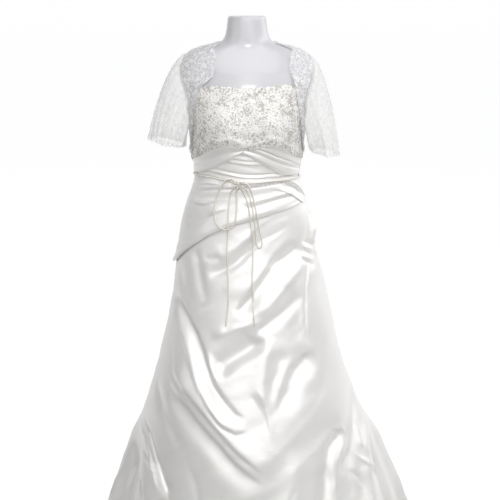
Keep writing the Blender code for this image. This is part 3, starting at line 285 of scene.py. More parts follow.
# Folds of the skirt: half width, height (a trough is below zero), lean, then the line's angle and height.
SKIRT_FOLDS = (
    (0.0120, -0.0090, 0.3, ((-34.7, 0.809), (-25.7, 0.819), (-14.7, 0.835), (-5.7, 0.854), (2.3, 0.883),
        (10.3, 0.912), (24.3, 0.930), (40.3, 0.946))),
    (0.0130, 0.0040, 0.0, ((-32, 0.886), (-19, 0.873), (-9, 0.890), (0, 0.913), (12, 0.940))),
    (0.0150, -0.0115, 0.3, ((47.8, 0.905), (36.8, 0.878), (25.8, 0.849), (15.8, 0.817), (6.8, 0.784), (-0.2, 0.754),
        (-6.2, 0.727), (-10.2, 0.712))),
    (0.0180, -0.0060, 0.0, ((54, 0.880), (38, 0.873), (25, 0.853), (17, 0.828))),
    (0.0150, 0.0050, -0.2, ((57, 0.855), (40, 0.822), (24, 0.781), (12, 0.737), (2, 0.704))),
    (0.0260, -0.0185, 0.3, ((-23, 0.564), (-18, 0.577), (-12, 0.597), (-5, 0.616), (3, 0.639),
        (10, 0.661))),
    (0.0140, -0.0065, 0.0, ((0, 0.655), (7, 0.677), (17, 0.703), (28, 0.730), (42, 0.766))),
    (0.0150, 0.0050, 0.2, ((-28, 0.657), (-16, 0.676), (-4, 0.693), (6, 0.723))),
    (0.0200, -0.0130, 0.3, ((47.1, 0.604), (37.1, 0.591), (29.1, 0.568), (24.1, 0.538), (19.1, 0.499), (14.1, 0.453))),
    (0.0150, -0.0050, 0.0, ((25, 0.628), (18, 0.585), (13, 0.534), (10, 0.490))),
    (0.0180, 0.0060, -0.2, ((15, 0.661), (9, 0.602), (6, 0.543), (8, 0.475))),
    (0.0150, -0.0155, -0.5, ((-92.1, 0.760), (-64.1, 0.736), (-51.1, 0.696), (-40.1, 0.655), (-32.1, 0.612),
        (-27.1, 0.569), (-22.1, 0.530), (-15.1, 0.493), (-9.1, 0.465), (-2.1, 0.448))),
    (0.0115, 0.0075, 0.3, ((-64.2, 0.697), (-49.2, 0.644), (-38.2, 0.588), (-30.2, 0.535), (-23.2, 0.489),
        (-16.2, 0.453), (-8.2, 0.432), (-0.2, 0.429))),
    (0.0180, 0.0080, 0.6, ((-60, 0.582), (-47, 0.547), (-35, 0.512), (-25, 0.473), (-15, 0.425),
        (-7, 0.382), (1, 0.344), (8, 0.305))),
    (0.0180, -0.0085, -0.5, ((-60, 0.532), (-48, 0.499), (-37, 0.465), (-27, 0.425), (-17, 0.380),
        (-9, 0.335), (-1, 0.300), (4, 0.278))),
    (0.1200, 0.0160, 0.0, ((-58, 0.600), (-40, 0.530), (-25, 0.460), (-11, 0.395), (2, 0.335), (16, 0.275))),
    (0.0140, -0.0040, 0.0, ((-49, 0.893), (-43, 0.845), (-39, 0.792), (-34, 0.732))),
    (0.0130, -0.0022, 0.0, ((-70, 0.834), (-61, 0.782), (-50, 0.740))),
    (0.0200, -0.0050, 0.0, ((30, 0.795), (35, 0.747), (35, 0.685), (38, 0.622))),
    (0.0140, -0.0050, 0.0, ((62, 0.394), (48, 0.386), (39, 0.357), (33, 0.314))),
    (0.0140, -0.0060, 0.0, ((-55, 0.319), (-47, 0.290), (-41, 0.252), (-39, 0.232))),
    (0.0160, -0.0040, 0.0, ((-75, 0.521), (-58, 0.466), (-46, 0.416), (-33, 0.351))),
    (0.0240, -0.0080, 0.3, ((36, 0.340), (28, 0.230), (20, 0.080))),
    (0.0280, 0.0080, 0.0, ((22, 0.380), (14, 0.240), (8, 0.060))),
    (0.0260, -0.0070, -0.3, ((84, 0.500), (62, 0.400), (46, 0.300), (40, 0.150))),
    (0.0320, 0.0130, 0.2, ((96, 0.440), (66, 0.330), (54, 0.200), (50, 0.020))),
    (0.0260, -0.0160, 0.0, ((82, 0.400), (74, 0.290), (68, 0.160), (66, 0.020))),
    (0.0340, 0.0260, 0.3, ((100, 0.420), (92, 0.280), (86, 0.150), (84, 0.010))),
    (0.0340, -0.0220, 0.0, ((112, 0.450), (108, 0.280), (104, 0.010))),
    (0.0400, 0.0200, 0.2, ((126, 0.500), (124, 0.280), (122, 0.010))),
    (0.0400, -0.0220, 0.0, ((144, 0.560), (142, 0.280), (141, 0.010))),
    (0.0440, 0.0200, 0.2, ((162, 0.560), (160, 0.280), (159, 0.010))),
    (0.0440, 0.0200, -0.2, ((-164, 0.560), (-161, 0.280), (-160, 0.010))),
    (0.0400, -0.0220, 0.0, ((-146, 0.560), (-143, 0.280), (-141, 0.010))),
    (0.0400, 0.0200, -0.2, ((-128, 0.500), (-124, 0.280), (-121, 0.010))),
    (0.0360, -0.0200, 0.0, ((-112, 0.440), (-105, 0.280), (-101, 0.010))),
    (0.0360, 0.0160, 0.2, ((-98, 0.400), (-86, 0.260), (-80, 0.010))),
    (0.0300, -0.0150, 0.0, ((-84, 0.350), (-68, 0.240), (-58, 0.010))),
    (0.0300, 0.0070, 0.2, ((-60, 0.300), (-46, 0.160), (-38, 0.010))),
    (0.0260, -0.0050, 0.0, ((-16, 0.200), (-14, 0.110), (-13, 0.010))),
    (0.0240, 0.0090, 0.0, ((104, 0.950), (92, 0.932), (80, 0.925), (70, 0.935))),
    (0.0120, 0.0050, 0.0, ((80, 0.955), (72, 0.900), (78, 0.845))),
    (0.0100, -0.0050, 0.0, ((92, 0.900), (80, 0.872), (68, 0.868))),
    # Finer wrinkles, in the visible cloth only.
    (0.0055, -0.0046, 0.4, ((-82, 0.417), (-63, 0.376), (-55, 0.338), (-48, 0.294), (-41, 0.250), (-37, 0.217))),
    (0.0060, 0.0036, -0.4, ((-90, 0.394), (-67, 0.359), (-57, 0.319), (-50, 0.275), (-45, 0.236))),
    (0.0060, 0.0044, 0.5, ((-68, 0.314), (-59, 0.305), (-53, 0.290), (-48, 0.283))),
    (0.0080, -0.0046, 0.3, ((-71, 0.195), (-71, 0.235), (-71, 0.280), (-74, 0.320))),
    (0.0080, 0.0040, 0.3, ((-81, 0.150), (-83, 0.206), (-80, 0.263))),
    (0.0060, -0.0040, 0.3, ((-52, 0.208), (-57, 0.238), (-61, 0.264))),
    (0.0055, 0.0036, 0.5, ((55, 0.333), (58, 0.310), (63, 0.286), (66, 0.250), (66, 0.205))),
    (0.0055, 0.0034, 0.3, ((64, 0.397), (63, 0.366), (61, 0.335))),
    (0.0070, -0.0040, 0.2, ((48, 0.400), (40, 0.365), (36, 0.329), (31, 0.262))),
    (0.0060, 0.0034, 0.2, ((51, 0.370), (44, 0.331), (39, 0.289), (36, 0.241))),
    (0.0060, -0.0038, 0.3, ((47, 0.295), (52, 0.268), (54, 0.231), (54, 0.195))),
    (0.0050, 0.0028, 0.3, ((44, 0.404), (51, 0.401), (56, 0.380))),
    (0.0045, -0.0030, 0.3, ((44, 0.978), (28, 0.966), (13, 0.940), (2, 0.920))),
    (0.0035, -0.0022, 0.0, ((76, 0.975), (66, 0.940), (60, 0.905), (54, 0.868), (50, 0.850))),
    (0.0050, -0.0028, 0.2, ((52, 0.900), (60, 0.892), (70, 0.884), (80, 0.876))),
    (0.0050, -0.0028, 0.2, ((50, 0.878), (58, 0.866), (66, 0.858), (76, 0.853))),
    (0.0045, -0.0024, 0.2, ((48, 0.856), (55, 0.843), (62, 0.834), (70, 0.830))),
    (0.0050, 0.0024, 0.0, ((50, 0.889), (60, 0.879), (72, 0.868))),
    (0.0050, 0.0024, 0.0, ((48, 0.867), (56, 0.854), (68, 0.842))),
    (0.0035, -0.0020, 0.0, ((74, 0.880), (57, 0.839), (48, 0.788), (43, 0.728), (41, 0.683), (42, 0.620))),
    (0.0050, -0.0030, -0.2, ((-33, 0.556), (-27, 0.506), (-21, 0.468), (-15, 0.433), (-8, 0.415),
        (-1, 0.426))),
    (0.0060, 0.0022, 0.3, ((2, 0.535), (6, 0.509), (8, 0.475), (9, 0.434), (10, 0.393))),
    (0.0070, -0.0022, 0.0, ((-1, 0.521), (3, 0.491), (6, 0.453), (7, 0.409))),
    (0.0100, 0.0030, 0.0, ((55, 0.367), (46, 0.350), (40, 0.315), (35, 0.266))),
    (0.0070, -0.0026, 0.2, ((51, 0.395), (44, 0.371), (37, 0.348))),
    (0.0060, -0.0024, 0.2, ((54, 0.340), (46, 0.315), (42, 0.274))),
    (0.0085, -0.0022, 0.3, ((-20, 0.672), (-13, 0.691), (-2, 0.700), (10, 0.716))),
    (0.0090, -0.0020, 0.2, ((8, 0.750), (19, 0.776), (30, 0.796))),
    (0.0090, -0.0018, 0.0, ((-42, 0.716), (-28, 0.745), (-16, 0.790))),
    (0.0070, -0.0018, 0.2, ((-38, 0.862), (-30, 0.856), (-20, 0.862))),
    (0.0060, -0.0014, 0.0, ((-70, 0.640), (-58, 0.585), (-50, 0.520))),
    (0.0070, -0.0016, 0.0, ((20, 0.300), (12, 0.220), (2, 0.180))),
    (0.0060, -0.0014, 0.0, ((-10, 0.850), (4, 0.880), (16, 0.930))),
    (0.0110, -0.0020, 0.0, ((-33, 0.340), (-26, 0.279), (-23, 0.210), (-22, 0.100))),
    (0.0120, -0.0030, 0.0, ((44, 0.378), (36, 0.309), (30, 0.230), (28, 0.100))),
)

# Folds of the hip wrap, in the same columns.
WRAP_FOLDS = (
    (0.0100, 0.0030, 0.5, ((-92, 1.028), (-55, 1.040), (-28, 1.048), (-9, 1.049), (15, 1.056), (40, 1.062))),
    (0.0035, -0.0030, 0.6, ((-92, 1.017), (-55, 1.032), (-28, 1.040), (-9, 1.041), (15, 1.048), (36, 1.054), (60, 1.060))),
    (0.0060, -0.0024, 0.3, ((-66, 0.996), (-51, 1.013), (-36, 1.017), (-21, 1.021), (-4, 1.024))),
    (0.0055, -0.0026, 0.3, ((-64, 1.018), (-43, 1.007), (-31, 1.004), (-18, 1.012))),
    (0.0060, -0.0022, 0.3, ((-10, 1.017), (15, 1.027), (35, 1.035), (70, 1.041))),
    (0.0070, -0.0026, 0.3, ((-6, 0.991), (14, 1.001), (33, 1.014), (70, 1.024))),
    (0.0080, 0.0022, 0.2, ((-12, 1.006), (10, 1.014), (34, 1.026), (62, 1.034))),
    (0.0100, 0.0060, 0.8, ((10, 1.074), (30, 1.071), (46, 1.062), (60, 1.046), (76, 1.018))),
    (0.0060, 0.0040, 0.8, ((24, 1.046), (42, 1.036), (56, 1.018), (68, 0.998), (76, 0.980))),
    (0.0048, 0.0042, 0.6, ((46, 1.068), (60, 1.054), (72, 1.032), (84, 1.004))),
    (0.0120, -0.0045, 0.0, ((-92, 0.958), (-59, 0.960), (-42, 0.950))),
    (0.0130, -0.0050, 0.2, ((-90, 0.915), (-60, 0.930), (-44, 0.960), (-30, 0.990))),
    (0.0110, 0.0035, 0.3, ((-92, 0.885), (-60, 0.900), (-22, 0.950), (20, 0.986), (60, 1.006))),
    (0.0120, 0.0070, 0.3, ((-112, 0.838), (-94, 0.828), (-80, 0.840), (-64, 0.864), (-36, 0.922), (0, 0.965))),
    (0.0120, 0.0040, 0.0, ((-130, 0.900), (-175, 0.950))),
    (0.0120, 0.0040, 0.0, ((130, 1.010), (175, 0.975))),
    (0.0060, -0.0016, 0.0, ((-84, 0.985), (-66, 0.978), (-50, 0.984))),
    (0.0075, 0.0048, 0.5, ((-86, 0.990), (-64, 1.002), (-46, 1.003), (-26, 1.012))),
    (0.0050, 0.0036, 0.6, ((-90, 1.040), (-66, 1.050), (-48, 1.056), (-28, 1.056))),
    (0.0100, 0.0050, 0.5, ((-84, 0.925), (-64, 0.938), (-48, 0.956), (-30, 0.984), (-14, 0.998))),
)


def signed_folds(table, section, angle, height):
    """How far the folds raise the cloth. A lean above zero makes a fold steep on its right side, seen along its line."""
    radius = column(section, "half_width", height) * 0.9
    total = np.zeros(np.broadcast(angle, height).shape)
    for width, rise, lean, line in table:
        line = np.array(line, float)
        best = np.full(total.shape, 1e9)
        where = np.zeros(total.shape)
        hand = np.zeros(total.shape)
        runs = len(line) - 1
        for i in range(runs):
            du, dv = np.radians(line[i + 1, 0] - line[i, 0]) * radius, line[i + 1, 1] - line[i, 1]
            pu, pv = np.radians(angle - line[i, 0]) * radius, height - line[i, 1]
            long = np.sqrt(du * du + dv * dv)
            t = np.clip((pu * du + pv * dv) / (long * long), 0, 1)
            d = np.hypot(pu - t * du, pv - t * dv)
            closer = d < best
            where = np.where(closer, (i + t) / runs, where)
            hand = np.where(closer, (pu * dv - pv * du) / long, hand)
            best = np.minimum(best, d)
        open_end = line[-1, 1] < 0.03
        fade = smooth(0, 0.25, where) * (1.0 if open_end else smooth(0, 0.25, 1 - where))
        side = 1 - lean * np.tanh(hand / (0.4 * width))
        total = total + rise * np.exp(-((best / (width * side)) ** 2)) * fade
    return total


def softly(x):
    """A smooth made-up unevenness from -1 to 1."""
    return np.sin(x) * 0.6 + np.sin(1.7 * x + 1.3) * 0.4


# Meshes


def mesh_object(name, verts, faces, slot_material, smooth_shade=True):
    mesh = bpy.data.meshes.new(name)
    verts = np.asarray(verts, np.float32)
    faces = [tuple(int(i) for i in f) for f in faces] if not isinstance(faces, np.ndarray) else faces.tolist()
    mesh.from_pydata(verts.tolist(), [], faces)
    mesh.validate()
    mesh.update()
    if smooth_shade:
        mesh.polygons.foreach_set("use_smooth", [True] * len(mesh.polygons))
    mesh.materials.append(slot_material)
    made = bpy.data.objects.new(name, mesh)
    bpy.context.collection.objects.link(made)
    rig.ride(made, "root")
    return made


def quads(rows, cols, closed=False):
    """Faces of a grid whose first row is lowest and whose columns run to the right, facing out."""
    r, c = np.meshgrid(np.arange(rows - 1), np.arange(cols if closed else cols - 1), indexing="ij")
    d = (c + 1) % cols
    return np.stack([r * cols + c, r * cols + d, (r + 1) * cols + d, (r + 1) * cols + c], -1).reshape(-1, 4)


def cloth(name, points, slot_material, thick=0.0012, closed=False):
    """A thin shell on a grid of points; its outer face is the grid."""
    rows, cols = points.shape[:2]
    made = mesh_object(name, points.reshape(-1, 3), quads(rows, cols, closed), slot_material)
    # The rims are crisp, so that two panels meet without a shaded line.
    ends = np.zeros(len(made.data.edges) * 2, int)
    made.data.edges.foreach_get("vertices", ends)
    row, col = np.divmod(ends.reshape(-1, 2), cols)
    rim = (row == 0).all(1) | (row == rows - 1).all(1)
    if not closed:
        rim |= (col == 0).all(1) | (col == cols - 1).all(1)
    made.data.edges.foreach_set("use_edge_sharp", rim)
    if thick:
        solid = made.modifiers.new("thickness", "SOLIDIFY")
        solid.thickness = thick
        solid.offset = -1
        solid.use_even_offset = False
    return made


def grid(left, right, low, high, cols, rows):
    """Angles and heights of a panel's grid between two side lines and two level lines, which are functions."""
    u = np.linspace(0, 1, cols)[None, :]
    v = np.linspace(0, 1, rows)[:, None] if isinstance(rows, int) else np.asarray(rows, float)[:, None]
    height = v * 1.0 + 0 * u
    angle = 0 * v + 0 * u
    for _ in range(12):
        angle = left(height) * (1 - u) + right(height) * u
        height = low(angle) * (1 - v) + high(angle) * v
    return angle, height


def fixed(value):
    return lambda at: np.full(np.shape(at), float(value))


def level(line, shift=0.0):
    return lambda at: along(line, at) + shift


def rounded(line, at, reach=6.0):
    """A line's value with its corners rounded off, by averaging round the point."""
    spread = np.linspace(-1, 1, 9) * reach
    return np.mean([along(line, at + s) for s in spread], axis=0)


# Materials


def new_material(name):
    made = bpy.data.materials.new(name)
    made.use_nodes = True
    nodes, links = made.node_tree.nodes, made.node_tree.links
    return made, nodes, links, nodes["Principled BSDF"]


def add(nodes, kind, **values):
    node = nodes.new(kind)
    for key, value in values.items():
        if key in node.inputs:
            node.inputs[key].default_value = value
        else:
            setattr(node, key, value)
    return node


def ramp(nodes, links, source, stops):
    node = nodes.new("ShaderNodeValToRGB")
    node.color_ramp.elements[0].position, node.color_ramp.elements[1].position = stops[0][0], stops[-1][0]
    node.color_ramp.elements[0].color, node.color_ramp.elements[1].color = stops[0][1], stops[-1][1]
    for position, colour in stops[1:-1]:
        node.color_ramp.elements.new(position).color = colour
    links.new(source, node.inputs["Fac"])
    return node


def grey(value, alpha=1.0):
    return (value, value, value, alpha)


def satin_material():
    """Heavy ivory satin: a broad sheen, and a very fine weave."""
    made, nodes, links, shader = new_material("look_satin")
    where = add(nodes, "ShaderNodeTexCoord")
    soft = add(nodes, "ShaderNodeTexNoise", Scale=9.0, Detail=3.0, Roughness=0.5)
    links.new(where.outputs["Object"], soft.inputs["Vector"])
    colour = ramp(nodes, links, soft.outputs["Fac"], [(0.30, (0.885, 0.872, 0.850, 1)), (0.70, (0.925, 0.915, 0.900, 1))])
    links.new(colour.outputs["Color"], shader.inputs["Base Color"])
    rough = ramp(nodes, links, soft.outputs["Fac"], [(0.25, grey(0.39)), (0.75, grey(0.46))])
    links.new(rough.outputs["Color"], shader.inputs["Roughness"])
    stretch = add(nodes, "ShaderNodeMapping")
    stretch.inputs["Scale"].default_value = (1.0, 1.0, 0.12)
    links.new(where.outputs["Object"], stretch.inputs["Vector"])
    weave = add(nodes, "ShaderNodeTexNoise", Scale=2600.0, Detail=1.0)
    links.new(stretch.outputs["Vector"], weave.inputs["Vector"])
    bump = add(nodes, "ShaderNodeBump", Strength=0.10, Distance=0.0002)
    links.new(weave.outputs["Fac"], bump.inputs["Height"])
    # Faint handling creases that run with the drape, longer than they are wide.
    along_drape = add(nodes, "ShaderNodeMapping")
    along_drape.inputs["Rotation"].default_value = (0.0, math.radians(38), 0.0)
    along_drape.inputs["Scale"].default_value = (0.45, 1.0, 1.0)
    links.new(where.outputs["Object"], along_drape.inputs["Vector"])
    crease = add(nodes, "ShaderNodeTexNoise", Scale=30.0, Detail=3.0, Roughness=0.45, Distortion=0.8)
    links.new(along_drape.outputs["Vector"], crease.inputs["Vector"])
    worn = add(nodes, "ShaderNodeBump", Strength=0.32, Distance=0.0030)
    links.new(crease.outputs["Fac"], worn.inputs["Height"])
    links.new(worn.outputs["Normal"], bump.inputs["Normal"])
    links.new(bump.outputs["Normal"], shader.inputs["Normal"])
    shader.inputs["Metallic"].default_value = 0.30
    shader.inputs["Specular IOR Level"].default_value = 0.75
    shader.inputs["Sheen Weight"].default_value = 0.08
    shader.inputs["Sheen Roughness"].default_value = 0.45
    return made


def bead_material(name, colour, rough, metallic):
    made, nodes, links, shader = new_material(name)
    where = add(nodes, "ShaderNodeTexCoord")
    vary = add(nodes, "ShaderNodeTexNoise", Scale=260.0, Detail=2.0)
    links.new(where.outputs["Object"], vary.inputs["Vector"])
    dark = tuple(c * 0.82 for c in colour)
    tint = ramp(nodes, links, vary.outputs["Fac"], [(0.35, (*dark, 1)), (0.65, (*colour, 1))])
    links.new(tint.outputs["Color"], shader.inputs["Base Color"])
    shader.inputs["Roughness"].default_value = rough
    shader.inputs["Metallic"].default_value = metallic
    shader.inputs["Coat Weight"].default_value = 0.5
    shader.inputs["Coat Roughness"].default_value = 0.12
    return made


def lace_ground_material():
    """The bodice under its beads: close ivory lace whose small gaps are darkened with painted shade, and more painted
    shade toward the sides, where the bodice turns away from the light.
    """
    made, nodes, links, shader = new_material("look_lace_ground")
    where = add(nodes, "ShaderNodeTexCoord")
    cells = add(nodes, "ShaderNodeTexVoronoi", Scale=250.0, feature="F1")
    cloud = add(nodes, "ShaderNodeTexNoise", Scale=95.0, Detail=4.0, Roughness=0.7)
    fine = add(nodes, "ShaderNodeTexNoise", Scale=520.0, Detail=2.0)
    for node in (cells, cloud, fine):
        links.new(where.outputs["Object"], node.inputs["Vector"])
    # Painted shade: the ground darkens as |x| grows from 0.085 m to 0.155 m, toward the sides where the bodice turns
    # away from the light.
    split = add(nodes, "ShaderNodeSeparateXYZ")
    links.new(where.outputs["Object"], split.inputs["Vector"])
    side = add(nodes, "ShaderNodeMath", operation="ABSOLUTE")
    links.new(split.outputs["X"], side.inputs[0])
    edge = add(nodes, "ShaderNodeMapRange")
    edge.inputs["From Min"].default_value = 0.085
    edge.inputs["From Max"].default_value = 0.155
    edge.inputs["To Min"].default_value = 0.0
    edge.inputs["To Max"].default_value = 0.16
    links.new(side.outputs[0], edge.inputs["Value"])
    own = add(nodes, "ShaderNodeSeparateColor")
    links.new(cells.outputs["Color"], own.inputs["Color"])
    speck = add(nodes, "ShaderNodeMath", operation="MULTIPLY_ADD")
    links.new(own.outputs["Red"], speck.inputs[0])
    speck.inputs[1].default_value = 0.42
    links.new(cloud.outputs["Fac"], speck.inputs[2])
    clump = add(nodes, "ShaderNodeTexNoise", Scale=42.0, Detail=2.0)
    links.new(where.outputs["Object"], clump.inputs["Vector"])
    sparse = add(nodes, "ShaderNodeMapRange")
    sparse.inputs["From Min"].default_value = 0.38
    sparse.inputs["From Max"].default_value = 0.62
    sparse.inputs["To Min"].default_value = -0.08
    sparse.inputs["To Max"].default_value = 0.15
    links.new(clump.outputs["Fac"], sparse.inputs["Value"])
    clumps_and_side_shade = add(nodes, "ShaderNodeMath", operation="ADD")
    links.new(sparse.outputs["Result"], clumps_and_side_shade.inputs[0])
    links.new(edge.outputs["Result"], clumps_and_side_shade.inputs[1])
    total = add(nodes, "ShaderNodeMath", operation="ADD")
    links.new(speck.outputs[0], total.inputs[0])
    links.new(clumps_and_side_shade.outputs[0], total.inputs[1])
    # Pale lace, with darker colours for the painted shade in its small gaps and toward the sides.
    colour = ramp(nodes, links, total.outputs[0], [(0.45, (0.96, 0.955, 0.945, 1)), (0.70, (0.90, 0.89, 0.875, 1)),
                                                   (0.84, (0.68, 0.655, 0.62, 1)), (0.98, (0.48, 0.455, 0.425, 1))])
    links.new(colour.outputs["Color"], shader.inputs["Base Color"])
    height = add(nodes, "ShaderNodeMath", operation="MULTIPLY_ADD")
    links.new(cells.outputs["Distance"], height.inputs[0])
    height.inputs[1].default_value = -0.9
    links.new(cloud.outputs["Fac"], height.inputs[2])
    bump = add(nodes, "ShaderNodeBump", Strength=0.7, Distance=0.0016)
    links.new(height.outputs[0], bump.inputs["Height"])
    links.new(bump.outputs["Normal"], shader.inputs["Normal"])
    shader.inputs["Roughness"].default_value = 0.6
    return made


def net_material(name, open_alpha, shut_alpha, pattern, colour):
    """Fine patterned net: a mesh of threads, closer in cloudy patches of about a centimetre."""
    made, nodes, links, shader = new_material(name)
    where = add(nodes, "ShaderNodeTexCoord")
    mesh_cells = add(nodes, "ShaderNodeTexVoronoi", Scale=520.0, feature="DISTANCE_TO_EDGE")
    cloud = add(nodes, "ShaderNodeTexNoise", Scale=180.0, Detail=5.0, Roughness=0.7)
    for node in (mesh_cells, cloud):
        links.new(where.outputs["Object"], node.inputs["Vector"])
    thread = ramp(nodes, links, mesh_cells.outputs["Distance"], [(0.02, grey(shut_alpha)), (0.16, grey(open_alpha))])
    patch = ramp(nodes, links, cloud.outputs["Fac"], [(0.46, grey(0.0)), (0.56, grey(pattern))])
    cover = add(nodes, "ShaderNodeMath", operation="MAXIMUM")
    links.new(thread.outputs["Color"], cover.inputs[0])
    links.new(patch.outputs["Color"], cover.inputs[1])
    links.new(cover.outputs[0], shader.inputs["Alpha"])
    dark = tuple(c * 0.88 for c in colour)
    tint = ramp(nodes, links, cloud.outputs["Fac"], [(0.40, (*dark, 1)), (0.50, (*colour, 1)), (0.64, (*dark, 1))])
    links.new(tint.outputs["Color"], shader.inputs["Base Color"])
    bump = add(nodes, "ShaderNodeBump", Strength=0.5, Distance=0.0006)
    links.new(cloud.outputs["Fac"], bump.inputs["Height"])
    links.new(bump.outputs["Normal"], shader.inputs["Normal"])
    shader.inputs["Roughness"].default_value = 0.8
    return made


def thread_material(name, colour, rough=0.55):
    made, nodes, links, shader = new_material(name)
    where = add(nodes, "ShaderNodeTexCoord")
    fine = add(nodes, "ShaderNodeTexNoise", Scale=900.0, Detail=2.0)
    links.new(where.outputs["Object"], fine.inputs["Vector"])
    dark = tuple(c * 0.86 for c in colour)
    tint = ramp(nodes, links, fine.outputs["Fac"], [(0.3, (*dark, 1)), (0.7, (*colour, 1))])
    links.new(tint.outputs["Color"], shader.inputs["Base Color"])
    bump = add(nodes, "ShaderNodeBump", Strength=0.35, Distance=0.0003)
    links.new(fine.outputs["Fac"], bump.inputs["Height"])
    links.new(bump.outputs["Normal"], shader.inputs["Normal"])
    shader.inputs["Roughness"].default_value = rough
    shader.inputs["Sheen Weight"].default_value = 0.2
    return made


def shell_material(name, colour, rough, coat=0.0, metallic=0.0):
    made, nodes, links, shader = new_material(name)
    where = add(nodes, "ShaderNodeTexCoord")
    soft = add(nodes, "ShaderNodeTexNoise", Scale=5.0, Detail=2.0)
    links.new(where.outputs["Object"], soft.inputs["Vector"])
    dark = tuple(c * 0.97 for c in colour)
    tint = ramp(nodes, links, soft.outputs["Fac"], [(0.3, (*dark, 1)), (0.7, (*colour, 1))])
    links.new(tint.outputs["Color"], shader.inputs["Base Color"])
    peel = add(nodes, "ShaderNodeTexNoise", Scale=420.0, Detail=1.0)
    links.new(where.outputs["Object"], peel.inputs["Vector"])
    bump = add(nodes, "ShaderNodeBump", Strength=0.04, Distance=0.0004)
    links.new(peel.outputs["Fac"], bump.inputs["Height"])
    links.new(bump.outputs["Normal"], shader.inputs["Normal"])
    shader.inputs["Roughness"].default_value = rough
    shader.inputs["Metallic"].default_value = metallic
    shader.inputs["Coat Weight"].default_value = coat
    shader.inputs["Coat Roughness"].default_value = 0.08
    return made


SATIN = satin_material()
LACE = lace_ground_material()
NET_BODY = net_material("look_net_body", 0.45, 0.85, 0.95, (0.83, 0.83, 0.855))
NET_SLEEVE = net_material("look_net_sleeve", 0.22, 0.50, 0.38, (0.88, 0.88, 0.87))
EMBROIDERY = thread_material("look_embroidery", (0.94, 0.935, 0.925))
FAINT = thread_material("look_embroidery_faint", (0.94, 0.935, 0.93))
FAINT.node_tree.nodes["Principled BSDF"].inputs["Alpha"].default_value = 0.5
SEAM = thread_material("look_seam", (0.74, 0.725, 0.71))
CORD = thread_material("look_cord", (0.80, 0.765, 0.70), 0.42)
BEAD = bead_material("look_bead", (0.79, 0.77, 0.73), 0.20, 0.20)
PEARL = bead_material("look_pearl", (0.93, 0.91, 0.87), 0.25, 0.0)
SHELL = shell_material("look_form_shell", (0.62, 0.62, 0.645), 0.32, 0.46)
METAL = shell_material("look_stand_paint", (0.84, 0.84, 0.86), 0.35, 0.2)


# Surfaces that hold embroidery and beads


class Cloth:
    """A grid of points with its normals, on which small things are placed by row and column."""

    def __init__(self, points, closed=False):
        self.points, self.closed = points, closed
        if closed:
            across = (np.roll(points, -1, 1) - np.roll(points, 1, 1)) / 2
        else:
            across = np.gradient(points, axis=1)
        up = np.gradient(points, axis=0)
        normal = np.cross(across, up)
        self.normal = normal / np.maximum(np.linalg.norm(normal, axis=-1, keepdims=True), 1e-12)
        self.wide = np.maximum(np.linalg.norm(across, axis=-1), 1e-5)
        self.tall = np.maximum(np.linalg.norm(up, axis=-1), 1e-5)

    def look(self, field, row, col):
        rows, cols = self.points.shape[:2]
        row = np.clip(row, 0, rows - 1.001)
        col = np.mod(col, cols) if self.closed else np.clip(col, 0, cols - 1.001)
        r, c = row.astype(int), col.astype(int)
        d = (c + 1) % cols
        a, b = row - r, col - c
        if field.ndim == 3:
            a, b = a[..., None], b[..., None]
        return (field[r, c] * (1 - a) * (1 - b) + field[r, d] * (1 - a) * b + field[r + 1, c] * a * (1 - b)
                + field[r + 1, d] * a * b)

    def scattered(self, tries, apart, low=0.0, high=1.0, keep=None):
        """Rows and columns of spots that lie at least so far apart."""
        rows, cols = self.points.shape[:2]
        row = (low + (high - low) * rng.random(tries)) * (rows - 1)
        col = rng.random(tries) * (cols if self.closed else cols - 1)
        spot = self.look(self.points, row, col)
        kept = []
        taken = np.zeros((0, 3))
        for i in range(tries):
            if keep is not None and not keep(spot[i]):
                continue
            if len(kept) and ((taken - spot[i]) ** 2).sum(1).min() < apart * apart:
                continue
            kept.append(i)
            taken = spot[kept]
        return row[kept], col[kept]

    def stamped(self, row, col, shape, turn, size, lift=0.0):
        """Vertices and faces of one small shape repeated at many spots."""
        local, faces = shape
        turn, size = np.asarray(turn)[:, None], np.asarray(size)[:, None]
        x = (local[:, 0] * np.cos(turn) - local[:, 1] * np.sin(turn)) * size
        y = (local[:, 0] * np.sin(turn) + local[:, 1] * np.cos(turn)) * size
        r = row[:, None] + y / self.look(self.tall, row, col)[:, None]
        c = col[:, None] + x / self.look(self.wide, row, col)[:, None]
        spots = self.look(self.points, r, c) + self.look(self.normal, r, c) * (local[:, 2] + lift)[None, :, None]
        count = len(local)
        return spots.reshape(-1, 3), (faces[None] + count * np.arange(len(row))[:, None, None]).reshape(-1, faces.shape[1])


def petal(length, wide, turn, start=0.12, sides=8):
    """A low domed petal that points away from the middle of its flower; the flower is one unit across."""
    t = np.linspace(0, 2 * math.pi, sides, endpoint=False)
    x = wide / 2 * np.sin(t) * (1 - 0.25 * np.cos(t))
    y = start + length / 2 * (1 - np.cos(t))
    local = np.concatenate([[[0, start + length * 0.55, 0.0008]], np.stack([x, y, np.full(sides, 0.0001)], -1)])
    c, s = math.cos(turn), math.sin(turn)
    local = np.stack([local[:, 0] * c - local[:, 1] * s, local[:, 0] * s + local[:, 1] * c, local[:, 2]], -1)
    faces = np.array([[0, 1 + (i + 1) % sides, 1 + i] for i in range(sides)])
    return local, faces


def joined(shapes):
    verts, faces, count = [], [], 0
    for local, some in shapes:
        verts.append(local)
        faces.append(some + count)
        count += len(local)
    return np.concatenate(verts), np.concatenate(faces)


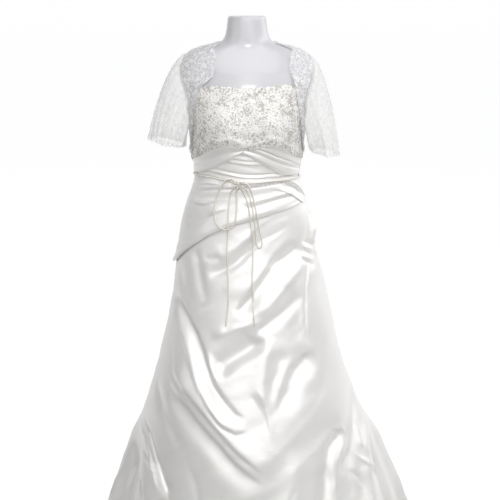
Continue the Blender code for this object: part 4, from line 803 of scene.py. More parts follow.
def vine(points, wide):
    """A narrow raised strip along a line of local points."""
    p = np.array(points, float)
    way = np.gradient(p, axis=0)
    way = way / np.linalg.norm(way, axis=1, keepdims=True)
    side = np.stack([-way[:, 1], way[:, 0]], -1) * wide / 2
    n = len(p)
    flat = np.zeros((n, 1))
    local = np.concatenate([np.hstack([p - side, flat + 0.0001]), np.hstack([p, flat + 0.0006]), np.hstack([p + side, flat + 0.0001])])
    faces = []
    for i in range(n - 1):
        faces += [[i, n + i + 1, n + i], [i, i + 1, n + i + 1], [n + i, n + i + 1, 2 * n + i], [n + i + 1, 2 * n + i + 1, 2 * n + i]]
    return local, np.array(faces)[:, ::-1] if False else np.array(faces)


FLOWER = joined([petal(0.36, 0.30, math.radians(72 * i)) for i in range(5)])
STAR = joined([petal(0.38, 0.20, math.radians(60 * i), 0.09) for i in range(6)])
bend = np.array([(0.5 * math.sin(a * 1.7) * 0.5, -0.5 + a) for a in np.linspace(0, 1, 7)])
LEAVES = [vine(bend, 0.035)]
for i, a in enumerate((0.12, 0.3, 0.5, 0.68, 0.86)):
    local, faces = petal(0.26, 0.13, math.radians(-62 if i % 2 else 62), 0.02, 6)
    LEAVES.append((local + np.array([0.25 * math.sin(a * 1.7), -0.5 + a, 0.0]), faces))
SPRIG = joined(LEAVES)

t = (1 + math.sqrt(5)) / 2
ICO = np.array([(-1, t, 0), (1, t, 0), (-1, -t, 0), (1, -t, 0), (0, -1, t), (0, 1, t), (0, -1, -t), (0, 1, -t),
                (t, 0, -1), (t, 0, 1), (-t, 0, -1), (-t, 0, 1)])
ICO = ICO / np.linalg.norm(ICO[0])
ICO_FACES = np.array([(0, 11, 5), (0, 5, 1), (0, 1, 7), (0, 7, 10), (0, 10, 11), (1, 5, 9), (5, 11, 4), (11, 10, 2),
                      (10, 7, 6), (7, 1, 8), (3, 9, 4), (3, 4, 2), (3, 2, 6), (3, 6, 8), (3, 8, 9), (4, 9, 5),
                      (2, 4, 11), (6, 2, 10), (8, 6, 7), (9, 8, 1)])


def bead_mesh(name, spots, radii, slot_material, slot):
    """Small round beads at many spots."""
    verts = (spots[:, None, :] + radii[:, None, None] * ICO[None]).reshape(-1, 3)
    faces = (ICO_FACES[None] + 12 * np.arange(len(spots))[:, None, None]).reshape(-1, 3)
    made = mesh_object(name, verts, faces, slot_material)
    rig.slot(made, slot)
    return made


def tube(name, path, radius, slot_material, slot, sides=10, closed=False):
    """A round tube along a path of points."""
    p = np.asarray(path, float)
    n = len(p)
    way = (np.roll(p, -1, 0) - np.roll(p, 1, 0)) if closed else np.gradient(p, axis=0)
    way = way / np.linalg.norm(way, axis=1, keepdims=True)
    first = np.array([0.0, 0.0, 1.0]) if abs(way[0, 2]) < 0.8 else np.array([1.0, 0.0, 0.0])
    side = np.zeros_like(p)
    for i in range(n):
        first = first - way[i] * first.dot(way[i])
        first = first / np.linalg.norm(first)
        side[i] = first
    other = np.cross(way, side)
    a = np.linspace(0, 2 * math.pi, sides, endpoint=False)
    radius = np.broadcast_to(np.asarray(radius, float), (n,))
    ring = p[:, None] + radius[:, None, None] * (side[:, None] * np.cos(a)[None, :, None] + other[:, None] * np.sin(a)[None, :, None])
    faces = quads(n + 1 if closed else n, sides, True)
    if closed:
        faces = np.where(faces >= n * sides, faces - n * sides, faces)
    faces = [tuple(f) for f in faces]
    if not closed:
        faces += [tuple(range(sides))[::-1], tuple(range((n - 1) * sides, n * sides))]
    made = mesh_object(name, ring.reshape(-1, 3), faces, slot_material)
    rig.slot(made, slot)
    return made


def area_of(points, closed=False):
    """The area of a grid of points."""
    p = np.concatenate([points, points[:, :1]], 1) if closed else points
    a, b, c, d = p[:-1, :-1], p[:-1, 1:], p[1:, 1:], p[1:, :-1]
    return float((np.linalg.norm(np.cross(b - a, c - a), axis=-1) + np.linalg.norm(np.cross(c - a, d - a), axis=-1)).sum() / 2)


# The form on its stand


around = np.linspace(-180, 180, 112, endpoint=False)
heights = np.concatenate([np.linspace(0.765, 1.33, 70), np.linspace(1.336, 1.489, 44)])
rings = []
for z in heights:
    gap = -0.0016 + 0.0007 * float(smooth(1.325, 1.345, z))
    ring = raised(BODY, around, np.full(len(around), z), np.full(len(around), gap))
    rings.append(ring)
rings = np.array(rings)
centre = rings.mean(1, keepdims=True)
# Rounded rims at the neck's flat top and at the lower end, then their closing rings.
for row, shrink in ((-1, 0.945), (-2, 0.987), (0, 0.95), (1, 0.985)):
    rings[row] = centre[row] + (rings[row] - centre[row]) * np.array([shrink, shrink, 1.0])
top = [centre[-1] + (rings[-1] - centre[-1]) * np.array([s, s, 1.0]) for s in (0.86, 0.4, 0.02)]
low = [centre[0] + (rings[0] - centre[0]) * np.array([s, s, 1.0]) for s in (0.02, 0.4, 0.9)]
rings = np.concatenate([np.array(low), rings, np.array(top)])
form = mesh_object("form", rings.reshape(-1, 3), quads(len(rings), len(around), True), SHELL)
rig.replaces(form, "form_body")
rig.slot(form, "form_shell")


def lathe(name, profile, sides, slot_material, slot):
    a = np.linspace(0, 2 * math.pi, sides, endpoint=False)
    ring = np.array([[(r * math.cos(b), r * math.sin(b), z) for b in a] for r, z in profile])
    made = mesh_object(name, ring.reshape(-1, 3), quads(len(profile), sides, True), slot_material)
    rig.slot(made, slot)
    return made


pole_profile = [(0.0005, 0.0223), (0.0115, 0.0223), (0.0125, 0.0240), (0.0125, 0.10), (0.0125, 0.40), (0.0125, 0.7600), (0.0125, 0.7648), (0.0005, 0.7649)]
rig.replaces(lathe("stand_pole", pole_profile, 40, METAL, "stand_metal"), "form_pole")
base_profile = [(0.001, 0.0), (0.160, 0.0), (0.1665, 0.0006), (0.1695, 0.0030), (0.170, 0.0060), (0.1695, 0.0110), (0.1670, 0.0150),
                (0.160, 0.0176), (0.120, 0.0194), (0.060, 0.0210), (0.030, 0.0219), (0.001, 0.0221)]
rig.replaces(lathe("stand_base", base_profile, 72, METAL, "stand_metal"), "form_base")

# The skirt


def skirt_top(angle):
    return rounded(WRAP_EDGE, angle) + 0.022


def skirt_low(angle):
    return 0.010 - 0.006 * smooth(90, 160, np.abs(angle))


def skirt_off(angle, height, panel):
    below = smooth(0.0, 0.030, skirt_top(angle) - 0.020 - height)
    lift = 0.001
    u, v = np.radians(angle) * 0.22, height
    # Soft unevenness that runs with the drape, up to the viewer's right.
    drift = (softly((v * 0.9 - u * 0.55) * 62 + softly(u * 16 + v * 9) * 1.5) * 0.0006
             + softly((v * 0.8 - u * 0.65) * 121 + softly(u * 25) * 2) * 0.0003)
    rise = signed_folds(SKIRT_FOLDS, SKIRT, angle, height) + drift * smooth(0.0, 0.10, skirt_top(angle) - height)
    off = 0.0010 + below * (rise + lift)
    room = np.linalg.norm(place(SKIRT, angle, height) - place(BODY, angle, height), axis=-1)
    return np.where(height > 0.755, np.maximum(off, 0.0016 - room), off)


UNDER = []


def skirt_panel(name, left, right, cols, rows, panel, flat, held_area):
    angle, height = grid(left, right, skirt_low, skirt_top, cols, rows)
    off = skirt_off(angle, height, panel) + 0.0018
    # The turned-up hem's stitching line.
    off = off - 0.0006 * np.exp(-(((height - skirt_low(angle) - 0.022) / 0.0022) ** 2))
    points = raised(SKIRT, angle, height, off)
    UNDER.append((points.reshape(-1, 3), quads(rows, cols)))
    made = cloth(name + "_satin", points, SATIN, 0.0013)
    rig.replaces(made, name)
    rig.slot(made, "satin")
    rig.sheet(made, flat=flat, held="draped", rests_on=["form"], area=held_area(points))
    return made


def flat_area(points, share=1.0):
    return round(area_of(points) * share, 4)


skirt_panel("skirt_front", level(FRONT_LEFT), level(FRONT_RIGHT), 170, 230, "front", (0.80, 1.05), flat_area)
skirt_panel("skirt_side_left", fixed(-122), level(FRONT_LEFT), 100, 170, "other", (0.75, 1.10), flat_area)
skirt_panel("skirt_side_right", level(FRONT_RIGHT), fixed(120), 110, 170, "other", (0.75, 1.10), flat_area)
skirt_panel("skirt_back_left", fixed(-180), fixed(-122), 56, 110, "other", (0.60, 1.10), flat_area)
skirt_panel("skirt_back_right", fixed(120), fixed(180), 56, 110, "other", (0.60, 1.10), flat_area)


# The hip wrap


def wrap_off(angle, height):
    over = smooth(0.062, 0.038, height - rounded(WRAP_EDGE, angle))
    return 0.0008 + over * 0.0034 + signed_folds(WRAP_FOLDS, SKIRT, angle, height)


def wrap_panel(name, left, right, cols, rows, flat):
    low, high = (lambda a: rounded(WRAP_EDGE, a)), (lambda a: rounded(WAIST, a) - 0.0002)
    angle, height = grid(fixed(left), fixed(right), low, high, cols, rows)
    off = wrap_off(angle, height) + 0.0017
    # No fold goes down to the form.
    off = 0.0019 + 0.0006 * np.logaddexp(0, (off - 0.0019) / 0.0006)
    # The edge is rolled under, and gathered a little into the waist.
    from_low = height - low(angle)
    off = off - 0.0030 * np.exp(-((from_low / 0.0016) ** 2)) + 0.0008 * np.exp(-(((from_low - 0.006) / 0.003) ** 2))
    tuck = smooth(0.022, 0.0, high(angle) - height)
    off = off + tuck * 0.0006 * softly(np.radians(angle) * 70)
    points = raised(SKIRT, angle, height, off)
    UNDER.append((points.reshape(-1, 3), quads(rows, cols)))
    made = cloth(name + "_satin", points, SATIN, 0.0013)
    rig.replaces(made, name)
    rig.slot(made, "satin")
    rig.sheet(made, flat=flat, held="gathered", rests_on=["form", "skirt_front_satin"], area=flat_area(points, 1.04))


wrap_panel("wrap_front", -96, 92, 200, 70, (0.58, 0.30))
wrap_panel("wrap_back_left", -180, -96, 80, 60, (0.30, 0.28))
wrap_panel("wrap_back_right", 92, 180, 80, 60, (0.30, 0.20))

# The midriff: level pleats, each with its fold downward, over one another.


def pleat(rise, low, high, deep):
    """A pleat's height above the midriff: a fold at its lower edge that dies away upward."""
    return deep * smooth(low - 0.0012, low + 0.0010, rise) * (1 - smooth(low + 0.001, high, rise)) * 1.0


def midriff_panel(name, left, right, cols, rows, flat):
    u = np.linspace(0, 1, cols)[None, :]
    v = np.linspace(0, 1, rows)[:, None]
    angle = left + (right - left) * u + 0 * v
    low, high = rounded(WAIST, angle) + 0.0002, rounded(LACE_HEM, angle, 4.0) + 0.003
    height = low + (high - low) * v
    rise = height - rounded(WAIST, angle) + 0.004 * np.sin(np.radians(angle) * 1.4 + 0.4) - 0.0015
    fade = smooth(118, 84, np.abs(angle))
    off = 0.0006
    for at, top, deep in ((0.0000, 0.012, 0.0010), (0.0132, 0.025, 0.0018), (0.0256, 0.046, 0.0018), (0.0492, 0.061, 0.0017),
                          (0.0612, 0.074, 0.0017), (0.0760, 0.095, 0.0014)):
        off = off + 1.3 * pleat(rise, at, top, deep) * fade
    off = off + 0.00022 * softly(np.radians(angle) * 9 + height * 260)
    points = raised(BODY, angle, height, off + 0.0011)
    UNDER.append((points.reshape(-1, 3), quads(rows, cols)))
    made = cloth(name + "_satin", points, SATIN, 0.0011)
    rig.replaces(made, name)
    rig.slot(made, "satin")
    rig.sheet(made, flat=flat, held="stretched", rests_on=["form"], area=flat_area(points, 1.25))


midriff_panel("midriff_front", -90, 90, 150, 84, (0.42, 0.15))
midriff_panel("midriff_back_left", -180, -90, 60, 40, (0.22, 0.075))
midriff_panel("midriff_back_right", 90, 180, 60, 40, (0.22, 0.075))

# Bands: angle and height of the lower edge, then of the upper edge.
BANDS = dict(
    band_left=((-89, 1.0790, -89, 1.1170), (-76, 1.0795, -73, 1.1240), (-64, 1.0810, -58, 1.1330), (-50, 1.0880, -44, 1.1500),
               (-38, 1.0960, -33, 1.1610), (-28, 1.1090, -24, 1.1685), (-20, 1.1195, -16, 1.1715), (-13, 1.1290, -11, 1.1655),
               (-7.5, 1.1375, -7, 1.1600), (-4.2, 1.1425, -4.6, 1.1560)),
    band_right_lower=((-3.4, 1.1405, -3.8, 1.1550), (1, 1.1325, 2, 1.1550), (8, 1.1215, 9, 1.1545), (16, 1.1100, 16, 1.1485),
                      (25, 1.0975, 23, 1.1405), (33, 1.0860, 32, 1.1300), (42, 1.0760, 44, 1.1200), (54, 1.0730, 56, 1.1100),
                      (68, 1.0730, 70, 1.1000), (80, 1.0730, 80, 1.0960), (89, 1.0730, 89, 1.0950)),
    band_right_upper=((10.4, 1.1550, 11, 1.1590), (17, 1.1492, 17, 1.1655), (24, 1.1410, 24, 1.1700), (33, 1.1302, 34, 1.1650),
                      (44.5, 1.1207, 46, 1.1480), (56.5, 1.1107, 62, 1.1300), (70, 1.1009, 76, 1.1220), (80, 1.0968, 83, 1.1200),
                      (89, 1.0958, 89, 1.1190)),
)


def spread_line(line, count):
    """The same line in many even steps, with its corners rounded."""
    line = np.array(line, float)
    at = np.linspace(0, len(line) - 1, count)
    fine = np.stack([np.interp(at, np.arange(len(line)), line[:, k]) for k in range(line.shape[1])], -1)
    for _ in range(6):
        fine[1:-1] = (fine[:-2] + 2 * fine[1:-1] + fine[2:]) / 4
    return fine


def band(name, stations, flat, folds_at):
    line = spread_line(stations, 130)
    v = (0.5 - 0.5 * np.cos(np.linspace(0, math.pi, 34)))[:, None]
    angle = line[:, 0] * (1 - v) + line[:, 2] * v
    height = line[:, 1] * (1 - v) + line[:, 3] * v
    wide = np.maximum(line[:, 3] - line[:, 1], 0.004)[None, :]
    edge = np.minimum(v, 1 - v) * wide
    off = 0.0066 - 0.0030 * np.exp(-((edge / 0.0019) ** 2))
    for at, half, rise, slide in folds_at:
        middle = at + slide * np.linspace(-0.5, 0.5, 130)[None, :]
        off = off + rise * np.exp(-(((v - middle) / half) ** 2))
    off = off + 0.0002 * softly(np.radians(angle) * 8 + height * 200)
    points = raised(BODY, angle, height, off)
    UNDER.append((points.reshape(-1, 3), quads(34, 130)))
    made = cloth(name + "_satin", points, SATIN, 0.0011)
    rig.replaces(made, name)
    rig.slot(made, "satin")
    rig.sheet(made, flat=flat, held="stretched", rests_on=["midriff_front_satin"], area=flat_area(points, 1.12))


band("band_left", BANDS["band_left"], (0.24, 0.060), ((0.80, 0.07, 0.0016, 0.0), (0.50, 0.13, -0.0026, -0.16), (0.16, 0.08, 0.0012, 0.1)))
band("band_right_lower", BANDS["band_right_lower"], (0.26, 0.055), ((0.66, 0.10, -0.0024, 0.14), (0.30, 0.12, 0.0014, 0.0)))
band("band_right_upper", BANDS["band_right_upper"], (0.20, 0.045), ((0.5, 0.16, -0.0018, 0.0),))

# The beaded lace bodice


def bodice_panel(name, left, right, cols, rows, flat):
    u = np.linspace(0, 1, cols)[None, :]
    v = np.linspace(0, 1, rows)[:, None]
    angle = left + (right - left) * u + 0 * v
    arc = np.radians(angle) * 0.155
    # Uneven scallops of lace motifs along both edges.
    low = rounded(LACE_HEM, angle, 3.0) - 0.0030 * np.abs(np.sin(arc * 210 + softly(arc * 60))) + 0.0012
    high = rounded(NECKLINE, angle, 3.0) + 0.0012 * np.sin(arc * 420) - 0.0006
    height = low + (high - low) * v
    flap = smooth(0.027, 0.012, height - rounded(LACE_HEM, angle, 3.0))
    relief = 0.0004 * (0.5 + 0.5 * np.sin(arc * 420 + 3 * softly(height * 90)) * np.sin(height * 400 + 3 * softly(arc * 80)))
    off = CLEAR + 0.0056 * flap + 0.0018 + relief
    points = raised(BODY, angle, height, off)
    made = cloth(name + "_lace", points, LACE, 0.0015)
    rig.replaces(made, name)
    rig.slot(made, "beaded_lace")
    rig.sheet(made, flat=flat, held="stretched", rests_on=["form"], area=flat_area(points, 1.0))
    return made, Cloth(points)


CLEAR = 0.0006
bodice = {}
bodice["front"] = bodice_panel("bodice_front", -88, 88, 190, 70, (0.50, 0.22))
bodice["back_left"] = bodice_panel("bodice_back_left", -180, -88, 90, 56, (0.29, 0.15))
bodice["back_right"] = bodice_panel("bodice_back_right", 88, 180, 90, 56, (0.29, 0.15))


def beadwork(side, panel, apart, filler, tries):
    """Embroidered flowers and sprigs with beads on their outlines, then loose beads between them."""
    row, col = panel.scattered(tries, apart, 0.04, 0.97)
    count = len(row)
    turn, size = rng.random(count) * 2 * math.pi, apart * (0.92 + 0.25 * rng.random(count))
    kind = rng.random(count)
    verts, faces, total = [], [], 0
    for shape, chosen in ((FLOWER, kind < 0.5), (STAR, (kind >= 0.5) & (kind < 0.75)), (SPRIG, kind >= 0.75)):
        some, more = panel.stamped(row[chosen], col[chosen], shape, turn[chosen], size[chosen] * (1.0 if shape is not SPRIG else 1.15), 0.0003)
        verts.append(some)
        faces.append(more + total)
        total += len(some)
    made = mesh_object(f"bodice_{side}_petals", np.concatenate(verts), np.concatenate(faces), EMBROIDERY)
    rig.slot(made, "beaded_lace")
    spots, radii = [], []
    ring = np.linspace(0, 2 * math.pi, 11, endpoint=False)
    for i in range(count):
        petals = 5 if kind[i] < 0.5 else 6
        reach = 0.36 + 0.10 * np.cos(petals * (ring - turn[i]) - math.pi / 2 * petals)
        x, y = reach * size[i] * np.cos(ring), reach * size[i] * np.sin(ring)
        r = np.concatenate([[row[i]], row[i] + y / panel.look(panel.tall, row[i:i + 1], col[i:i + 1])])
        c = np.concatenate([[col[i]], col[i] + x / panel.look(panel.wide, row[i:i + 1], col[i:i + 1])])
        spots.append(panel.look(panel.points, r, c) + panel.look(panel.normal, r, c) * 0.0007)
        radii.append(np.concatenate([[0.0019], 0.0009 + 0.0004 * rng.random(11)]))
    beads = bead_mesh(f"bodice_{side}_beads", np.concatenate(spots), np.concatenate(radii), BEAD, "beaded_lace")
    r, c = panel.scattered(filler, 0.0056, 0.015, 0.985)
    spots = panel.look(panel.points, r, c) + panel.look(panel.normal, r, c) * 0.0004
    pearls = bead_mesh(f"bodice_{side}_pearls", spots, 0.0010 + 0.0006 * rng.random(len(r)), PEARL, "beaded_lace")
    print("beadwork", side, count, "motifs", len(beads.data.polygons) + len(pearls.data.polygons), "faces")
    return made, beads, pearls


for side, (made, panel) in bodice.items():
    beadwork(side, panel, 0.0235 if side == "front" else 0.027, 9000 if side == "front" else 3000, 2500 if side == "front" else 900)

# The lace bolero: front edges, and how far each armhole opens either side of the body's side
BOLERO_LEFT = ((1.130, -78), (1.163, -76), (1.195, -68), (1.233, -61), (1.265, -54.5), (1.297, -46), (1.315, -39),
               (1.327, -32), (1.345, -27), (1.391, -29), (1.404, -40), (1.414, -52), (1.420, -60))
BOLERO_RIGHT = ((1.122, 84), (1.151, 79), (1.194, 68), (1.235, 61), (1.276, 51), (1.312, 44), (1.338, 40), (1.358, 37),
                (1.388, 43), (1.402, 58), (1.411, 64), (1.420, 68))
ARMHOLE = ((1.196, 0), (1.203, 11), (1.222, 19), (1.26, 26), (1.30, 28), (1.34, 24), (1.366, 16), (1.380, 9), (1.388, 0))


def bolero_off(height):
    return 0.0017 + 0.0046 * smooth(1.338, 1.320, height) + 0.0042 * smooth(1.156, 1.142, height)


def eased(line, at, reach):
    spread = np.linspace(-1, 1, 7) * reach
    return np.mean([along(line, at + s) for s in spread], axis=0)


def opening(height):
    """Half the armhole's opening at a height, in degrees."""
    return along(ARMHOLE, height)


NET_PIECES = {}


def bolero_panel(name, side, cols, rows, flat):
    u = np.linspace(0, 1, cols)[None, :]
    v = np.linspace(0, 1, rows)[:, None]
    height = 1.128 + (1.420 - 1.128) * v + 0 * u
    inside = (height > 1.196) & (height < 1.388)
    open_by = np.where(inside, opening(height), 0.0)
    scallop = 1.1 * np.abs(np.sin(height * 235 + 1.2 * np.sin(height * 60))) - 0.5
    if side == "left":
        first, last = -90 + open_by, eased(BOLERO_LEFT, height, 0.006) + scallop
    elif side == "right":
        first, last = eased(BOLERO_RIGHT, height, 0.006) - scallop, 90 - open_by
    else:
        first, last = 90 + open_by, 270 - open_by
    angle = first * (1 - u) + last * u
    # The lower edge is scalloped too.
    height = height + 0.0042 * np.abs(np.sin(np.radians(angle) * 0.16 * 235)) * smooth(0.05, 0.0, v) - 0.001 * smooth(0.05, 0.0, v)
    off = bolero_off(height) + 0.0006 + 0.0003 * softly(np.radians(angle) * 22 + height * 80)
    points = raised(BODY, angle, height, off)
    made = cloth(name + "_net", points, NET_BODY, 0)
    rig.replaces(made, name)
    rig.slot(made, "net_lace")
    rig.sheet(made, flat=flat, held="draped", rests_on=["form", "bodice_front_lace"], area=flat_area(points))
    NET_PIECES[name] = Cloth(points)


bolero_panel("bolero_front_left", "left", 44, 120, (0.14, 0.30))
bolero_panel("bolero_front_right", "right", 40, 120, (0.12, 0.30))
bolero_panel("bolero_back", "back", 120, 110, (0.50, 0.30))


def sleeve_points(side, count, steps):
    """The sleeve's rings from the armhole to the cuff; side is -1 for the viewer's left."""
    turn = np.linspace(0, 2 * math.pi, count, endpoint=False)
    middle, half = 1.292, 0.098
    height = middle + half * np.cos(turn)
    sign = np.where(np.sin(turn) >= 0, 1, -1) * np.minimum(1, np.abs(np.sin(turn)) * 3)
    root = raised(BODY, side * (90 - (along(ARMHOLE, height) + 1.6) * sign), height, bolero_off(height) + 0.0036)
    seam = raised(BODY, side * (90 - along(ARMHOLE, height) * sign), height, bolero_off(height) + 0.0010)
    cuff_x, cuff_wide, cuff_z, tilt = (-0.2135, 0.0465, 1.154, 0.009) if side < 0 else (0.2090, 0.0345, 1.125, -0.008)
    wave = 0.0045 * np.sin(turn * 5 + 0.6) + 0.0025 * np.sin(turn * 8 + 2.0)
    fine = 0.0026 * np.sin(turn * 13 + 1.0) + 0.0015 * np.sin(turn * 21 + 0.4)
    wave = wave + fine
    cuff = np.stack([cuff_x + side * (cuff_wide + 0.8 * wave) * np.cos(turn), 0.004 - (0.074 + wave) * np.sin(turn),
                     cuff_z + tilt * np.cos(turn)], -1)
    push = np.stack([side * (0.009 + (0.011 if side < 0 else 0.015) * np.maximum(np.cos(turn), 0)), -0.018 * np.sin(turn),
                     0.004 * np.cos(turn)], -1)
    bend = root * 0.62 + cuff * 0.38 + push
    bend[:, 2] = root[:, 2] * 0.86 + cuff[:, 2] * 0.14
    under = np.maximum(-np.cos(turn), 0)[:, None] ** 2
    near = np.stack([root[:, 0] + side * 0.002, bend[:, 1], np.full(count, cuff_z + 0.018)], -1)
    bend = bend * (1 - under) + near * under
    scallop = 0.0045 * np.abs(np.sin(turn * 13)) - 0.0035
    rings = []
    for s in np.linspace(0, 1, steps):
        ring = root * (1 - s) ** 2 + bend * 2 * s * (1 - s) + cuff * s * s
        ring = ring + (seam - root) * float(smooth(0.05, 0.0, s))
        ring[:, 2] = ring[:, 2] - scallop * float(smooth(0.93, 1.0, s))
        rings.append(ring)
    rings = np.array(rings)[::-1]
    return rings if side < 0 else rings[:, ::-1]


for name, side, flat in (("sleeve_left", -1, (0.48, 0.30)), ("sleeve_right", 1, (0.48, 0.30))):
    rings = sleeve_points(side, 168, 76)
    piece = Cloth(rings, True)
    if float(((rings - rings.mean(1, keepdims=True)) * piece.normal).sum(-1).mean()) < 0:
        rings = rings[:, ::-1]
        piece = Cloth(rings, True)
    made = cloth(name + "_net", rings, NET_SLEEVE, 0, True)
    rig.replaces(made, name)
    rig.slot(made, "net_lace")
    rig.sheet(made, flat=flat, held="hung", rests_on=["bolero_back_net"], area=flat_area(np.concatenate([rings, rings[:, :1]], 1)))
    NET_PIECES[name] = piece
    seam = tube(name + "_seam", rings[-1], 0.0010, SEAM, "net_lace", 6, True)


def embroidery(name, motifs, reach, sleeve=False):
    """Flat embroidered flowers and sprigs on the net, closer together along its hem."""
    piece = NET_PIECES[name]
    verts, faces, total = [], [], 0

    def stamp(shape, row, col, turn, size):
        nonlocal total
        if len(row) == 0:
            return
        some, more = piece.stamped(row, col, shape, turn, size, 0.0002)
        verts.append(some)
        faces.append(more + total)
        total += len(some)

    def worked(spot):
        # A sleeve's flowers stand close together at its hem and outer edge, and sparsely elsewhere.
        outer = 0.303 - (spot[2] - 1.165) * 0.38
        return spot[2] < 1.178 or abs(spot[0]) > outer - 0.030 or rng.random() < 0.22

    row, col = piece.scattered(motifs, reach, 0.03 if not sleeve else 0.14, 0.98, worked if sleeve else None)
    kind = rng.random(len(row))
    for shape, chosen in ((FLOWER, kind < 0.35), (STAR, (kind >= 0.35) & (kind < 0.5)), (SPRIG, kind >= 0.5)):
        stamp(shape, row[chosen], col[chosen], rng.random(int(chosen.sum())) * 2 * math.pi, reach * (0.85 + 0.3 * rng.random(int(chosen.sum()))))
    if sleeve:
        # The hem's border: a row of flowers with sprigs above it.
        rows, cols = piece.points.shape[:2]
        count = 26
        c = (np.arange(count) + 0.5) / count * cols
        stamp(FLOWER, np.full(count, 0.035 * rows), c, rng.random(count) * 6, np.full(count, 0.0150))
        stamp(STAR, np.full(count, 0.018 * rows), c + cols / count / 2, rng.random(count) * 6, np.full(count, 0.0100))
        stamp(SPRIG, np.full(count, 0.095 * rows), c + cols / count / 2, 0.4 * (rng.random(count) - 0.5), np.full(count, 0.0200))
    made = mesh_object(name + "_embroidery", np.concatenate(verts), np.concatenate(faces), FAINT if sleeve else EMBROIDERY)
    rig.slot(made, "net_lace")
    return made


embroidery("bolero_front_left", 3000, 0.0150)
embroidery("bolero_front_right", 3000, 0.0150)
embroidery("bolero_back", 5000, 0.0180)
embroidery("sleeve_left", 3200, 0.0150, True)
embroidery("sleeve_right", 3200, 0.0150, True)

# The closed zip down the centre back: its tape, a row of teeth and a small pull.
zip_z = np.linspace(1.158, 1.234, 50)[:, None]
zip_a = np.linspace(-1.6, 1.6, 9)[None, :]
zip_off = CLEAR + 0.0018 + 0.0007 + 0.0004 + 0.0010
zip_points = raised(BODY, 180 + zip_a + 0 * zip_z, zip_z + 0 * zip_a, zip_off - 0.0004 * (np.abs(zip_a) / 1.6) ** 4 + 0 * zip_z)
zip_tape = cloth("zip_tape", zip_points, EMBROIDERY, 0.0008)
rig.replaces(zip_tape, "back_zip")
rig.slot(zip_tape, "satin")
teeth_z = np.arange(1.160, 1.2325, 0.0019)
teeth = raised(BODY, 180 + np.where(np.arange(len(teeth_z)) % 2, 0.22, -0.22), teeth_z, np.full(len(teeth_z), zip_off + 0.0001))
bead_mesh("zip_teeth", teeth, np.full(len(teeth), 0.00085), PEARL, "satin")
pull_at = raised(BODY, np.full(12, 180.0), np.linspace(1.2325, 1.2180, 12), zip_off + 0.0009 + 0.0003 * np.sin(np.linspace(0, 3.1, 12)))
tube("zip_pull", pull_at, np.interp(np.arange(12), (0, 1, 4, 10, 11), (0.0006, 0.0013, 0.0008, 0.0011, 0.0006)), METAL, "satin", 10)

# The cord


def tree_of(surfaces):
    verts, faces = [], []
    for points, some in surfaces:
        faces += [tuple(int(i) + len(verts) for i in f) for f in some]
        verts += [tuple(p) for p in points.tolist()]
    return BVHTree.FromPolygons(verts, faces)


BELOW = tree_of(UNDER)


def smooth_line(points, step):
    """Points step apart on a smooth curve through the route's own points."""
    p = np.array(points, float)
    long = np.concatenate([[0], np.cumsum(np.linalg.norm(np.diff(p, axis=0), axis=1))])
    fine = np.linspace(0, long[-1], 40 * len(p))
    ends = np.concatenate([[2 * p[0] - p[1]], p, [2 * p[-1] - p[-2]]])
    out = []
    for at in fine:
        i = min(max(int(np.searchsorted(long, at, side="right")) - 1, 0), len(p) - 2)
        t = (at - long[i]) / max(long[i + 1] - long[i], 1e-9)
        a, b, c, d = ends[i], ends[i + 1], ends[i + 2], ends[i + 3]
        out.append(0.5 * (2 * b + (c - a) * t + (2 * a - 5 * b + 4 * c - d) * t * t + (3 * b - a - 3 * c + d) * t ** 3))
    out = np.array(out)
    long = np.concatenate([[0], np.cumsum(np.linalg.norm(np.diff(out, axis=0), axis=1))])
    at = np.linspace(0, long[-1], max(2, int(round(long[-1] / step)) + 1))
    return np.stack([np.interp(at, long, out[:, k]) for k in range(3)], -1)


CORD_WIDE = 0.004
KNOT = (-8.0, 1.0592, 0.0116)
KNOT_SIZE = np.array([0.0070, 0.0048, 0.0064])
KNOT_AT = raised(SKIRT, np.array([KNOT[0]]), np.array([KNOT[1]]), np.array([KNOT[2]]))[0]


def lay(spot, out):
    """How far out from a spot a cord's middle has to be to lie on the cloth."""
    half = CORD_WIDE / 2
    side = np.array([-out[1], out[0], 0.0])
    side = side / np.linalg.norm(side)
    best = 0.0
    for share in (0.0, 0.5, 0.87, 1.0):
        for turn in range(8 if share else 1):
            a = math.radians(45 * turn)
            start = spot + half * share * (side * math.cos(a) + np.array([0, 0, math.sin(a)])) + out * 0.08
            hit = BELOW.ray_cast(Vector(start), Vector(-out), 0.12)
            if hit[0] is not None:
                best = max(best, 0.08 - hit[3] + half * math.sqrt(1 - share * share))
    return best


def tie(line, turn, depth):
    """The line with its first end led to the knot: turn is where it leaves, in degrees from the viewer's right."""
    away = np.array([math.cos(math.radians(turn)), depth, math.sin(math.radians(turn))])
    away = away / np.linalg.norm(away)
    reach = 1 / np.linalg.norm(away / KNOT_SIZE)
    far = np.linalg.norm(line - KNOT_AT, axis=1)
    rest = line[int(np.argmax(far > 0.021)):]
    return np.concatenate([[KNOT_AT + away * (reach - 0.0005)], [KNOT_AT + away * (reach + 0.0055)], rest])


